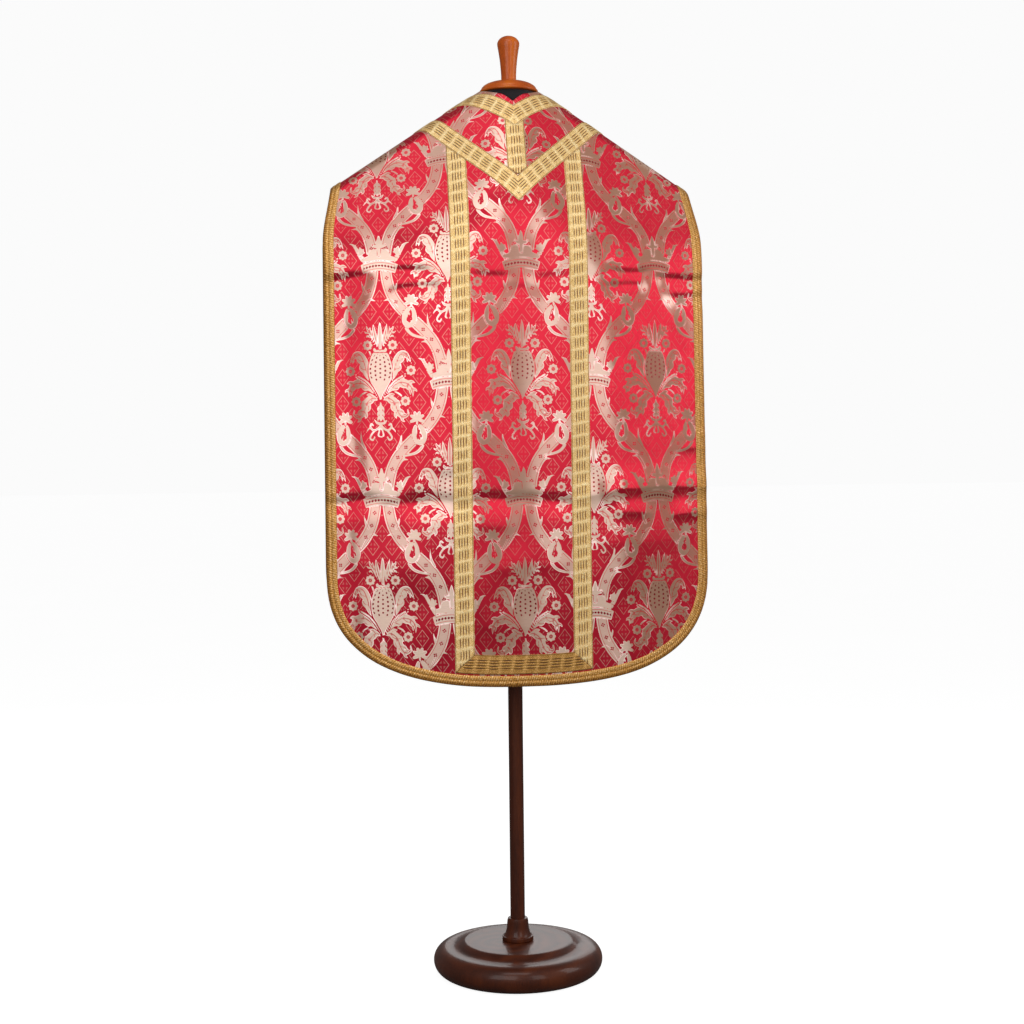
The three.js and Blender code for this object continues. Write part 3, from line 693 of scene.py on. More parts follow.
def brocade(across, down):
    """All distances and local coordinates of the pattern at cloth points, as named arrays."""
    folded = np.abs((across + HALF_WIDE) % REPEAT_WIDE - HALF_WIDE)
    columns = [
        (folded, (down + CHART_TOP) % REPEAT_TALL - CHART_TOP),
        (HALF_WIDE - folded, (down - HALF_TALL + CHART_TOP) % REPEAT_TALL - CHART_TOP),
    ]
    found = []
    for a, b in columns:
        fields = dict(vein=np.full(a.shape, NO_VEIN))
        fields["across"], fields["along"], ends = ribbon(a, b)
        fields["ribbon"] = np.maximum(np.abs(fields["across"]) - RIBBON_HALF, ends)
        fields["figure"] = fields["ribbon"].copy()
        compose(a, b, FIGURES, fields)
        half = np.interp(b, *np.array(BULB[:-1]).T)
        fields["bulb_across"], fields["bulb_down"] = a / half * FRUIT_HALF, b
        fields["bulb"] = np.maximum(a - half + FRUIT_RIM, np.maximum(FRUIT_TOP - b, b - FRUIT_END))
        found.append(fields)
    first, second = found
    out = {}
    for key in ("figure", "ribbon", "bulb"):
        for name in FIELD_GROUPS[key]:
            out[name] = np.where(first[key] < second[key], first[name], second[name])
    out["rosette"], out["band"] = np.full(a.shape, 4 * FAR), np.full(a.shape, FAR)
    for name in ("rosette_across", "rosette_down", "bead_across", "bead_down"):
        out[name] = np.full(a.shape, FAR)
    for a, b in columns:
        compose(a, b + CROWN_LIFT, CROWN, out)
        bead = b + CROWN_LIFT - BAND_BOW * a * a
        band = np.maximum(np.abs(bead) - BAND_HALF, a - BAND_END + BAND_SLANT * bead)
        nearer = band < out["band"]
        out["bead_across"] = np.where(nearer, a, out["bead_across"])
        out["bead_down"] = np.where(nearer, bead + FAR * (a > BEADS_END), out["bead_down"])
        out["band"] = np.minimum(out["band"], band)
        out["figure"] = np.minimum(np.maximum(out["figure"], 1 - band), band)
        out["ribbon"] = np.maximum(out["ribbon"], 1 - band)
        for middle in ROSETTES:
            off = np.hypot(a - middle[0], b - middle[1])
            nearer = off < out["rosette"]
            out["rosette_across"] = np.where(nearer, a - middle[0], out["rosette_across"])
            out["rosette_down"] = np.where(nearer, b - middle[1], out["rosette_down"])
            out["rosette"] = np.minimum(out["rosette"], off)
    out["figure"] = np.maximum(out["figure"], ROSETTE_REACH + ROSETTE_GROUND - out["rosette"])
    return out


sample = brocade(*np.meshgrid(np.arange(0, 257, 4.0), np.arange(0, 430, 4.0)))
print("share of the cloth under figures:", round(float((sample["figure"] < 0).mean()), 3))

# %% [markdown]
# ## The brocade's finish
#
# Brocade shows two threads. The ground is a satin: red warp threads float down the cloth, so its shine
# spreads sideways and changes with the cloth's lean. The figures are metallic weft that floats across, so
# their shine spreads up and down and changes with the cloth's turn: cream on a part that faces the lamp,
# tan beside it. Two anisotropic shaders, turned a quarter turn from each other, give that, and a mask made
# from the distances mixes them.

# %% Brocade: sharp edges from the distances
brocade_cloth = new_material("silk_brocade")
weave = partial(add, brocade_cloth)


def read(material, name):
    """The three numbers that a vector attribute holds."""
    held = add(material, "Attribute", attribute_name=name).outputs["Vector"]
    return add(material, "SeparateXYZ", held).outputs


figure, vein, _ = read(brocade_cloth, "figure")
across, along, ribbon_far = read(brocade_cloth, "ribbon")
rosette_x, rosette_z, rosette_far = read(brocade_cloth, "rosette")
bulb_x, bulb_z, bulb_far = read(brocade_cloth, "bulb")
bead_x, bead_z, _ = read(brocade_cloth, "bead")
cloth_x, cloth_z, _ = read(brocade_cloth, "cloth")

# A leaf's veins stop a little short of its outline.
VEIN_HALF, VEIN_FADED, VEIN_DEPTH, VEIN_INSIDE = 0.75, 1.2, 0.75, 0.9
body = weave("Math.LESS_THAN", figure, 0.0)
deep = weave("Math.LESS_THAN", figure, -VEIN_INSIDE)
inside = weave("MapRange", vein, VEIN_HALF, VEIN_FADED, VEIN_DEPTH, 0.0, clamp=True)
inside = weave("Math.MULTIPLY", inside, deep)

# A fruit's dots, 4 mm wide: columns 9.8 mm apart with a dot every 8 mm, every other column half a step lower.
DOT_COLUMN, DOT_DOWN, DOT_RADIUS = 9.8, 4.0, 2.0
dot_x, dot_z = weave("Math.PINGPONG", bulb_x, DOT_COLUMN), weave("Math.PINGPONG", bulb_z, DOT_DOWN)
here = weave("CombineXYZ", dot_x, dot_z)
next_x, next_z = weave("Math.SUBTRACT", DOT_COLUMN, dot_x), weave("Math.SUBTRACT", DOT_DOWN, dot_z)
between = weave("CombineXYZ", next_x, next_z)
dot = weave("Math.MINIMUM", weave("VectorMath.LENGTH", here), weave("VectorMath.LENGTH", between))
dot = weave("Math.LESS_THAN", dot, DOT_RADIUS)
dot = weave("Math.MULTIPLY", dot, weave("Math.LESS_THAN", bulb_far, 0.0))

# The crown's band: diamonds every 5.9 mm between two fine lines.
DIAMOND_STEP, DIAMOND_HALF, DIAMONDS_END = 5.9, 2.7, 32.0
BAND_LINE, BAND_LINE_END, LINE_HALF = 5.6, 34.0, 0.4
level = weave("Math.ABSOLUTE", bead_z)
diamond = weave("Math.ADD", weave("Math.PINGPONG", bead_x, DIAMOND_STEP / 2), level)
diamond = weave("Math.LESS_THAN", diamond, DIAMOND_HALF)
diamond = weave("Math.MULTIPLY", diamond, weave("Math.LESS_THAN", bead_x, DIAMONDS_END))
band_line = weave("Math.COMPARE", level, BAND_LINE, LINE_HALF)
band_line = weave("Math.MULTIPLY", band_line, weave("Math.LESS_THAN", bead_x, BAND_LINE_END))

# The ribbon: a line inside each edge, and a cross of four dots every 24 mm.
RIBBON_INNER, RIBBON_LINE, CROSS_STEP, CROSS_ARM, CROSS_DOT = 7.5, 7.9, 24.0, 2.4, 1.45
wide = weave("Math.ABSOLUTE", across)
on_ribbon = weave("Math.LESS_THAN", ribbon_far, 0.0)
inner = weave("Math.MULTIPLY", weave("Math.LESS_THAN", wide, RIBBON_INNER), on_ribbon)
ribbon_line = weave("Math.MULTIPLY", weave("Math.COMPARE", wide, RIBBON_LINE, LINE_HALF), on_ribbon)
step = weave("Math.PINGPONG", weave("Math.ADD", along, 18.0), CROSS_STEP / 2)
cross = weave(
    "CombineXYZ",
    weave("Math.SUBTRACT", weave("Math.MAXIMUM", step, wide), CROSS_ARM),
    weave("Math.MINIMUM", step, wide),
)
cross = weave("Math.LESS_THAN", weave("VectorMath.LENGTH", cross), CROSS_DOT)
cross = weave("Math.MULTIPLY", cross, inner)

# Rosettes: eight petals round a star of ground with eight points, and a paler heart in the star.
PETAL_START, PETAL_LONG, STAR_REACH, STAR_NOTCH, HEART = 7.5, 2.0, 4.6, 1.3, 1.2
eighth = weave("Math.MULTIPLY", weave("Math.ARCTAN2", rosette_z, rosette_x), 4.0)
lobe = weave("Math.ABSOLUTE", weave("Math.COSINE", eighth))
petal = weave("Math.LESS_THAN", rosette_far, weave("Math.MULTIPLY_ADD", lobe, PETAL_LONG, PETAL_START))
ring = weave("Math.LESS_THAN", rosette_far, weave("Math.MULTIPLY_ADD", lobe, -STAR_NOTCH, STAR_REACH))
heart = weave("Math.LESS_THAN", rosette_far, HEART)
ring = weave("Math.MULTIPLY", ring, weave("Math.MULTIPLY_ADD", heart, -0.5, 0.9))

# Lozenges on a diagonal lattice, each 18.36 mm across and 23.89 mm down from the next: an outline, and four
# pale quarters about an upright cross, with sizes as shares of a lozenge. They keep clear of the figures.
LATTICE_WIDE, LATTICE_TALL, LATTICE_LOWER = REPEAT_WIDE / 14, REPEAT_TALL / 18, 8.0
LOZENGE, LOZENGE_LINE, QUARTER_GAP, QUARTER_END = 0.646, 0.034, 0.2, 0.42
FIGURE_CLEAR, ROSETTE_CLEAR = 1.7, 10.8
column = weave("Math.DIVIDE", cloth_x, LATTICE_WIDE)
row = weave("Math.DIVIDE", cloth_z, LATTICE_TALL)
rising = weave("Math.PINGPONG", weave("Math.ADD", column, row), 1.0)
falling = weave("Math.PINGPONG", weave("Math.SUBTRACT", column, row), 1.0)
large, small = weave("Math.MAXIMUM", rising, falling), weave("Math.MINIMUM", rising, falling)
lozenge = weave("Math.COMPARE", large, LOZENGE, LOZENGE_LINE)
quarter = weave("Math.GREATER_THAN", weave("Math.SUBTRACT", large, small), QUARTER_GAP)
quarter = weave("Math.MULTIPLY", quarter, weave("Math.LESS_THAN", large, QUARTER_END))
lozenge = weave("Math.MULTIPLY_ADD", quarter, 0.4, lozenge)
open_ground = weave("Math.GREATER_THAN", figure, FIGURE_CLEAR)
open_ground = weave("Math.MULTIPLY", open_ground, weave("Math.GREATER_THAN", rosette_far, ROSETTE_CLEAR))
lozenge = weave("Math.MULTIPLY", lozenge, open_ground)

# The solid weft is the figures and petals less what is cut out, and a ribbon's middle is a little thinner.
cut = weave("Math.MAXIMUM", inside, weave("Math.MAXIMUM", dot, weave("Math.MAXIMUM", diamond, band_line)))
cut = weave("Math.MAXIMUM", cut, weave("Math.MAXIMUM", cross, weave("Math.MAXIMUM", ribbon_line, ring)))
solid = weave("Math.MAXIMUM", body, petal)
solid = weave("Math.MULTIPLY", solid, weave("Math.SUBTRACT", 1.0, cut))
half_tone = weave("Math.MULTIPLY_ADD", inner, -0.16, 1.0)
solid = weave("Math.MULTIPLY", solid, half_tone)
share = weave("Math.MAXIMUM", solid, weave("Math.MULTIPLY", lozenge, 0.5))
print("nodes in the brocade:", len(brocade_cloth.node_tree.nodes))

# %% [markdown]
# Weft and warp are finer than the eye sees from a few steps away, so the ribs are drawn twice as coarse, at
# 0.9 mm, as bump. The figures stand about a thread's thickness over the ground.

# %% Brocade: threads and shaders
tangent = weave("Tangent", direction_type="UV_MAP", uv_map="OFBake")
RIB = 0.9
weft_rib, warp_rib = wave(weave, cloth_z, RIB), wave(weave, cloth_x, RIB)
ribs = weave("Math.ADD", weave("Math.MULTIPLY", weft_rib, share), weave("Math.MULTIPLY", warp_rib, 0.4))
raised = weave("Math.MULTIPLY_ADD", ribs, 0.06, weave("Math.MULTIPLY", share, 0.5))
thread_bump = weave("Bump", Strength=0.35, Distance=0.0002, Height=raised)
place = weave("TexCoord").outputs["Object"]
mottle = weave("TexNoise", Vector=place, Scale=26.0, Detail=3.0, Roughness=0.55)
slub = weave("TexNoise", Vector=weave("Mapping", place, Scale=(160.0, 160.0, 900.0)), Scale=1.0, Detail=2.0)
dye = weave("Mix", data_type="RGBA", Factor=mottle, A="#CC1A34", B="#E62C42")
# Painted shade: the red ground that shows through the fruit's dots, the band's diamonds and, faintly, the
# ribbon's crosses is darkened, as shade in small pits.
pit_shade = weave("Math.MAXIMUM", dot, weave("Math.MAXIMUM", diamond, weave("Math.MULTIPLY", cross, 0.3)))
pit_shade = weave("Math.MULTIPLY", pit_shade, 0.62)
red = weave("Mix", data_type="RGBA", Factor=pit_shade, A=dye, B="#4A0410")
foil = weave("Mix", data_type="RGBA", Factor=slub, A="#AC7E58", B="#D0A47A")
# Painted highlight: a pale line along each figure's edge, in patches, where a raised edge would catch the
# lamp. The weft is less metallic along it, so the line stays pale.
edge_highlight_noise = weave("TexNoise", Vector=place, Scale=34.0, Detail=1.0)
edge_highlight_patches = weave("MapRange", edge_highlight_noise, 0.45, 0.6, 0.0, 1.0, clamp=True)
outline = weave("Math.MULTIPLY", weave("Math.COMPARE", figure, -0.5, 0.5), edge_highlight_patches)
pale = weave("Mix", data_type="RGBA", Factor=outline, A=foil, B="#FFD0BC")
foil_metal = weave("Math.MULTIPLY_ADD", outline, -0.3, 0.35)
ground = weave(
    "BsdfPrincipled", Base_Color=red, Metallic=0.72, Roughness=0.46, Anisotropic=0.92, Tangent=tangent,
    Normal=thread_bump, Specular_IOR_Level=0.4,
)
foil_shader = weave(
    "BsdfPrincipled", Base_Color=pale, Metallic=foil_metal, Roughness=0.32, IOR=4.6, Anisotropic=0.92,
    Anisotropic_Rotation=0.25, Tangent=tangent, Normal=thread_bump,
)
bound = weave("Math.MULTIPLY", share, 0.87)
weave("OutputMaterial", weave("MixShader", bound, ground, foil_shader))

# %% [markdown]
# ## The panels
#
# Each side of the garment has three breadths of brocade, joined under the gold uprights. They were cut at
# slightly different places in the pattern, and hanging has drawn them out a little, each by its own share.
# A breadth is a grid of threads: columns down from the top edge to the bottom edge, 2 mm apart in front.
# Its top edge is turned in, over and down the inside, as at a faced neckline.

# %% Breadths of brocade
COLUMN_X = 110.5
# how far inside the binding's edge the brocade ends
UNDER_BINDING = 0.8
EDGE_X = HALF_WIDTH - UNDER_BINDING
FRONT["pattern_top"], BACK["pattern_top"] = 370.0, 374.0
# where each breadth's pattern lies: farther across, lower down, and how much the hang has drawn it out
CUT = dict(left=(-5.5, 7.0, 0.011), middle=(2.0, 5.5, 0.0175), right=(6.8, 5.5, 0.008))
# the turned edge, from its end on the inside: how far below the edge, and height over the brocade
TURN_IN = np.array([(12, -1.7), (4, -1.75), (0.6, -1.7), (0.05, -1.2), (0.1, -0.55), (0.5, -0.12), (1.3, 0)])


def turned_grid(columns, rows, side):
    """Cloth coordinates and lift of a breadth: first the turned edge, then even rows to the bottom edge."""
    top, bottom = top_v(columns, side), bottom_v(columns)
    share = np.linspace(0, 1, rows)[1:, None]
    down = blend(top + TURN_IN[-1, 0], bottom - UNDER_BINDING, share)
    v = np.concatenate([top + TURN_IN[:, :1], down])
    lift = np.concatenate([np.repeat(TURN_IN[:, 1:], len(columns), axis=1), np.zeros_like(down)])
    return np.broadcast_to(columns, v.shape), v, lift


def flat_map(piece, across_map, down_map):
    """Gives a piece the map of its flat cut, scaled to one square."""
    places = np.stack([across_map.ravel(), -down_map.ravel()], axis=-1)
    places = (places - places.min(axis=0)) / np.ptp(places, axis=0).max()
    mesh = piece.data
    index = np.empty(len(mesh.loops), np.int32)
    mesh.loops.foreach_get("vertex_index", index)
    layer = mesh.uv_layers.new(name="OFBake")
    layer.data.foreach_set("uv", places[index].astype(np.float32).ravel())


def cut_size(columns, top, bottom):
    """Width, length and area of a cut, between its top and bottom edges."""
    width, length = float(np.ptp(cut_width(columns))), float(bottom.max() - top.min())
    area = float(np.trapz(bottom - top, cut_width(columns)))
    print(f"cut {width:.0f} x {length:.0f} mm, {area / 1e6:.3f} square metres")
    return width, length, area


def breadth(name, columns, rows, side):
    """One breadth of brocade with its pattern: the chart meets the cloth at its flat coordinates."""
    x, v, lift = turned_grid(columns, rows, side)
    points = cloth_lifted(x, v, side, lift)
    farther, lower, drawn = CUT[name.split("_")[-1]]
    across, down = cut_width(x) - farther, (v - side["pattern_top"] - lower) / (1 + drawn)
    found = brocade(across, down)
    zero = np.zeros_like(x)
    fields = {}
    for key, names in FIELD_GROUPS.items():
        fields[key] = np.stack([*(found[name] for name in names), zero][:3], axis=-1)
    fields["cloth"] = np.stack([across, down - LATTICE_LOWER, zero], axis=-1)
    piece = grid_mesh(name, points, brocade_cloth, fields=fields, flip=side is BACK)
    flat_map(piece, cut_width(x), v)
    return piece, *cut_size(columns, top_v(columns, side), bottom_v(columns))


def side_columns(step):
    """Threads of a side breadth, from the edge to the gold upright, closer together near the edge."""
    share = np.linspace(0, 1, int((EDGE_X - COLUMN_X) / step))
    return -EDGE_X + (EDGE_X - COLUMN_X) * (share - 0.35 * np.sin(np.pi * share) * (1 - share) / np.pi)


def middle_columns(step):
    """Threads of the middle breadth, closer together at the two ends of the neckline."""
    angle = np.linspace(-np.pi / 2, np.pi / 2, int(2.3 * NECK_HALF_WIDTH / step))
    inside = NECK_HALF_WIDTH * np.sin(angle)
    outside = np.linspace(NECK_HALF_WIDTH, COLUMN_X, int((COLUMN_X - NECK_HALF_WIDTH) / step) + 1)[1:]
    return np.concatenate([-outside[::-1], inside, outside])


breadths = {}
for side, word, step, rows in ((FRONT, "front", 2.0, 540), (BACK, "back", 2.7, 400)):
    left, middle = side_columns(step), middle_columns(step)
    for name, columns in (("left", left), ("middle", middle), ("right", -left[::-1])):
        breadths[f"{word}_{name}"] = breadth(f"brocade_{word}_{name}", columns, rows, side)

# %% [markdown]
# ## Lining
#
# The lining is a plain red cloth, sewn 6 mm below the turned edges. Only its smooth inner side can be seen,
# so its grid is coarse.

# %% Lining: cloth and finish
lining_cloth = new_material("satin_lining")
sew = partial(add, lining_cloth)
place = sew("TexCoord").outputs["Object"]
twill = sew("TexWave", Vector=sew("Mapping", place, Rotation=(0.0, 0.6, 0.0)), Scale=220.0, Distortion=0.4)
shade = sew("TexNoise", Vector=place, Scale=9.0, Detail=2.0)
shade = sew("Mix", data_type="RGBA", Factor=shade, A="#8E0B1E", B="#A61226")
lining_bump = sew("Bump", Strength=0.12, Distance=0.0003, Height=twill)
shader = sew("BsdfPrincipled", Base_Color=shade, Roughness=0.5, Sheen_Weight=0.3, Normal=lining_bump)
sew("OutputMaterial", shader)
LINING_LOWER, LINING_INSET, LINING_SHORTER, LINING_LIFT = 6.0, 1.5, 2.0, -1.9


def lining(name, side):
    """The inner sheet: the same threads as the panel, 8 mm apart, at the inner face of its wall."""
    columns = np.linspace(-EDGE_X + LINING_INSET, EDGE_X - LINING_INSET, 91)
    top, bottom = top_v(columns, side) + LINING_LOWER, bottom_v(columns) - LINING_SHORTER
    v = blend(top, bottom, np.linspace(0, 1, 131)[:, None])
    x = np.broadcast_to(columns, v.shape)
    points = cloth_lifted(x, v, side, np.full(v.shape, LINING_LIFT))
    piece = grid_mesh(name, points, lining_cloth, flip=side is FRONT)
    flat_map(piece, cut_width(x), v)
    return piece, *cut_size(columns, top, bottom)


linings = {"front": lining("lining_front", FRONT), "back": lining("lining_back", BACK)}

# %% [markdown]
# ## Galloon
#
# Galloon is a woven band, 36 mm wide, of gold-wrapped thread. Its cords float in bundles of five with dark
# slits between them, and diagonal knots bind them every 23 mm. The bands are thin closed shells that follow
# the cloth: a ring of points round the band's section, carried along it. Each point knows its place across
# and along the band, so the weave runs with the band and is cut off cleanly at a mitre.

# %% Bands: section and lines
BAND = 36.0
KNOT_EVERY, KNOT_SLANT, KNOT_SWELL, KNOTS_END, CORD = 23.0, 0.18, 0.16, 15.0, 5.0
# place across as a share of half the width, height over the brocade
BAND_SECTION = np.array(
    [
        (-0.97, 0.2), (-1, 0.5), (-0.985, 1.05), (-0.94, 1.3), (-0.87, 1.2), (-0.7, 1.35), (-0.42, 1.5),
        (-0.14, 1.5), (0.14, 1.5), (0.42, 1.5), (0.7, 1.35), (0.87, 1.2), (0.94, 1.3), (0.985, 1.05),
        (1, 0.5), (0.97, 0.2), (0.35, 0.2), (-0.35, 0.2),
    ]
)
# line in the middle, slope, rounding at the middle, easing towards the shoulders
NECK_BAND_FRONT, NECK_BAND_BACK = (71.0, 0.849, 0.0, 0.0027), (58.0, 0.849, 22.0, 0.0)
YOKE_BAND = (229.0, 1.01, 0.0, 0.0)
HEM_RISE = 22.0
# the air between two bands, and the height over which a section's points lie on the band's face
GAP, BAND_FACE = 0.3, 1.1


def braid_tube(name, x, v, side, s, along, lift, material):
    """A closed shell over cloth points, whose points know their place across and along the braid."""
    points = cloth_lifted(x, v, side, lift)
    fields = dict(braid=np.stack([s, np.broadcast_to(along, x.shape), lift], axis=-1))
    piece = grid_mesh(name, points, material, closed=True, capped=True, fields=fields)
    close_outwards(piece)
    return piece


def sloping_v(band, x, offset):
    """The line of a band that falls from both shoulders, at an offset across it as a share of its width."""
    middle, slope, rounding, ease = band
    run = np.hypot(x, rounding)
    local = (slope * np.abs(x) / run if rounding else slope) - 2 * ease * np.abs(x)
    return middle - slope * (run - rounding) + ease * x * x + offset * BAND * np.hypot(1, local)


def reaches_ridge(band, offset, side):
    """Where such a line meets the shoulder ridge, found by halving."""
    low, high = np.full(np.shape(offset), 30.0), np.full(np.shape(offset), 300.0)
    for _ in range(40):
        middle = (low + high) / 2
        below = sloping_v(band, middle, offset) > ridge_v(middle, side)
        low, high = np.where(below, middle, low), np.where(below, high, middle)
    return low


def hem_lower(x):
    """The hem band's lower edge runs beside the hem."""
    return bottom_v(x) - HEM_RISE


def mitre_v(x):
    """The line in which an upright meets the hem band, from the inner corner to the outer corner."""
    inner, outer = COLUMN_X - BAND / 2, COLUMN_X + BAND / 2
    return blend(hem_lower(inner) - BAND, hem_lower(outer), (np.abs(x) - inner) / BAND)


def band_piece(name, x, v, side, along, material):
    """A band over cloth points (rows along it, columns round its section), whose face swells a little at
    every knot line."""
    s = np.broadcast_to(BAND_SECTION[:, 0] * BAND / 2, x.shape)
    lift = np.broadcast_to(BAND_SECTION[:, 1], x.shape)
    swell = KNOT_SWELL * np.cos(2 * np.pi * (along + KNOT_SLANT * s) / KNOT_EVERY) * (np.abs(s) < KNOTS_END)
    lift = np.where(lift > BAND_FACE, lift + swell, lift)
    return braid_tube(name, x, v, side, s, along, lift, material)


# %% Galloon: gold-wrapped cords
SLIT_WIDE, SLIT_TALL, SLITS_END = 0.95, 10.4, 9.6
# where a knot starts and is full, counted from the middle of a bundle, then the same for a margin
KNOT_FROM, KNOT_TO, MARGIN_FROM, MARGIN_TO = 6.5, 10.5, 9.5, 11.5
# the steps of a margin's ribs and of the twisted thread, and the brown line along each edge
MARGIN_RIB, THREAD, EDGE_LINE, EDGE_LINE_HALF = 3.2, 1.3, 16.6, 0.45


def galloon_material(name, dark, gold, bright, slit_colour):
    """Cords 5 mm apart with lens-shaped slits between them, and plain margins with fine ribs."""
    material = new_material(name)
    braid = partial(add, material)
    s, t, _ = read(material, "braid")
    place = braid("TexCoord").outputs["Object"]
    uneven = braid("TexNoise", Vector=place, Scale=60.0, Detail=2.0)
    uneven = braid("Math.MULTIPLY_ADD", uneven, 3.0, -1.5)
    shifted = braid("Math.MULTIPLY_ADD", s, KNOT_SLANT, braid("Math.ADD", t, uneven))
    bundle = braid("Math.SUBTRACT", braid("Math.FLOORED_MODULO", shifted, KNOT_EVERY), KNOT_EVERY / 2)
    lane = braid("Math.ADD", s, braid("Math.MULTIPLY", wave(braid, t, 2 * KNOT_EVERY), 0.45))
    apart = braid("Math.SUBTRACT", CORD / 2, braid("Math.PINGPONG", lane, CORD / 2))
    wide = braid("Math.DIVIDE", apart, SLIT_WIDE)
    tall = braid("Math.DIVIDE", bundle, SLIT_TALL)
    lens = braid("VectorMath.LENGTH", braid("CombineXYZ", wide, tall))
    slit = braid("MapRange", lens, 1.05, 0.7, 0.0, 1.0, clamp=True)
    slit = braid("Math.MULTIPLY", slit, braid("Math.LESS_THAN", braid("Math.ABSOLUTE", lane), SLITS_END))
    knot = braid("MapRange", braid("Math.ABSOLUTE", bundle), KNOT_FROM, KNOT_TO, 0.0, 1.0, clamp=True)
    edge = braid("Math.ABSOLUTE", s)
    margin = braid("MapRange", edge, MARGIN_FROM, MARGIN_TO, 0.0, 1.0, clamp=True)
    rib = wave(braid, braid("Math.ADD", t, edge), MARGIN_RIB)
    fibre = wave(braid, braid("Math.MULTIPLY_ADD", s, 0.7, t), THREAD)
    cord = braid("Math.COSINE", braid("Math.MULTIPLY", lane, 2 * np.pi / CORD))
    cord = braid("Math.MULTIPLY", cord, braid("Math.SUBTRACT", 1.0, margin))
    height = braid("Math.MULTIPLY_ADD", cord, 0.3, braid("Math.MULTIPLY", fibre, 0.08))
    height = braid("Math.MULTIPLY_ADD", braid("Math.MULTIPLY", rib, margin), 0.18, height)
    height = braid("Math.MULTIPLY_ADD", knot, 0.12, height)
    height = braid("Math.MULTIPLY_ADD", slit, -0.9, height)
    bump = braid("Bump", Strength=0.8, Distance=0.0007, Height=height)
    tone = braid("Math.MULTIPLY_ADD", rib, 0.12, braid("Math.MULTIPLY_ADD", fibre, 0.14, 0.5))
    glint = braid("TexNoise", Vector=place, Scale=620.0, Detail=2.0)
    tone = braid("Math.ADD", tone, braid("Math.MULTIPLY_ADD", glint, 1.5, -0.8))
    # Painted highlight: the tone is lighter at each knot, as where a raised knot catches the lamps.
    tone = braid("Math.MULTIPLY_ADD", knot, 0.16, tone)
    ramp = set_stops(braid("ValToRGB", tone), 0.15, dark, gold, 0.9, bright)
    brown = braid("Math.MAXIMUM", slit, braid("Math.COMPARE", edge, EDGE_LINE, EDGE_LINE_HALF))
    colour = braid("Mix", data_type="RGBA", Factor=brown, A=ramp, B=slit_colour)
    metal = braid("Math.MULTIPLY_ADD", slit, -0.3, 0.4)
    shader = braid("BsdfPrincipled", Base_Color=colour, Metallic=metal, Roughness=0.42, Normal=bump)
    braid("OutputMaterial", shader)
    return material


galloon = galloon_material("gold_galloon", "#BC8638", "#F8CE82", "#FFF2C8", "#7A4212")
# Painted shade: the hem bands take the same galloon in darker colours, because a band that runs across the
# cloth catches less of the lamps than the uprights.
shaded_hem_galloon = galloon_material("galloon_in_painted_shade", "#8A5C20", "#BC8638", "#EBBE74", "#4A2606")

# %% Bands along their lines
# the distance between a band's rings
STATION = 3.0


def upright(name, middle, side, top, bottom=mitre_v):
    """A band down the cloth: every line of its section runs from its own top to its own bottom."""
    x = middle + BAND_SECTION[:, 0] * BAND / 2
    first, last = top(x), bottom(x)
    rows = int((last - first).max() / STATION)
    v = blend(first, last, np.linspace(0, 1, rows)[:, None])
    return band_piece(name, np.broadcast_to(x, v.shape), v, side, v, galloon)


def sloping(name, band, side):
    """A band down from both shoulders, with a stitched mitre or a bend in the middle."""
    offsets = BAND_SECTION[:, 0] / 2
    ends = reaches_ridge(band, offsets, side)
    long = np.hypot(1, band[1])
    half = np.linspace(0, 1, int(ends.max() * long / STATION))
    x = np.concatenate([-half[:0:-1], half])[:, None] * ends
    along = np.abs(x) * long - band[1] * BAND_SECTION[:, 0] * BAND / 2
    return band_piece(name, x, sloping_v(band, x, offsets), side, along, galloon)


def hem_band(name, side):
    """The band beside the hem, with mitred ends."""
    down = (BAND_SECTION[:, 0] + 1) / 2
    ends = blend(COLUMN_X - BAND / 2, COLUMN_X + BAND / 2, down) - GAP
    x = np.linspace(-1, 1, int(2 * COLUMN_X / STATION))[:, None] * ends
    return band_piece(name, x, hem_lower(x) - BAND * (1 - down), side, x, shaded_hem_galloon)


bands = {
    "neck_band_front": sloping("galloon_neck_front", NECK_BAND_FRONT, FRONT),
    "neck_band_back": sloping("galloon_neck_back", NECK_BAND_BACK, BACK),
    "yoke_band": sloping("galloon_yoke", YOKE_BAND, FRONT),
    "hem_band": hem_band("galloon_hem_front", FRONT),
    "back_hem_band": hem_band("galloon_hem_back", BACK),
    "centre_band": upright(
        "galloon_centre", 0, FRONT, lambda x: sloping_v(NECK_BAND_FRONT, x, 0.5) + 2 * GAP,
        bottom=lambda x: sloping_v(YOKE_BAND, x, -0.5) - 2 * GAP,
    ),
}
for hand, middle in (("left", -COLUMN_X), ("right", COLUMN_X)):
    bands[f"column_band_{hand}"] = upright(
        f"galloon_column_{hand}", middle, FRONT, lambda x: sloping_v(YOKE_BAND, x, 0.5) + 2 * GAP
    )
    bands[f"back_column_band_{hand}"] = upright(
        f"galloon_back_column_{hand}", middle, BACK,
        lambda x: np.maximum(ridge_v(x, BACK), sloping_v(NECK_BAND_BACK, x, 0.5) + 3 * GAP),
    )

# %% [markdown]
# ## Edge binding
#
# A narrower, darker braid folds over every outer edge. Its section is a long hook: two bumpy cords on the
# outside, round the edge, and back on the lining. It is carried from one shoulder tip down, round the hem
# and up again.

# %% Binding: stations and section
BINDING, BINDING_GROOVE, BINDING_FACE = 19.0, 9.0, 1.2
BINDING_STEP, BINDING_INSET, SWELL_EVERY, SWELL = 1.75, 0.5, 7.0, 0.22
# the steps of its twist and of its fine thread
BINDING_TWIST, BINDING_THREAD = 4.4, 1.2
# distance from the braid's inner edge, height over the brocade
BINDING_SECTION = np.array(
    [
        (0, 0.15), (-0.1, 0.6), (0.6, 1.0), (2.6, 1.45), (4.8, 1.6), (7, 1.5), (9, 1.25), (11, 1.5),
        (13.4, 1.7), (15.8, 1.45), (18, 1.15), (19.6, 0.5), (20.3, -0.6), (20, -1.8), (18.4, -2.75),
        (14, -2.9), (13.8, -2.3), (18.2, -2.1), (18.75, -1.2), (18.6, 0.1),
    ]
)


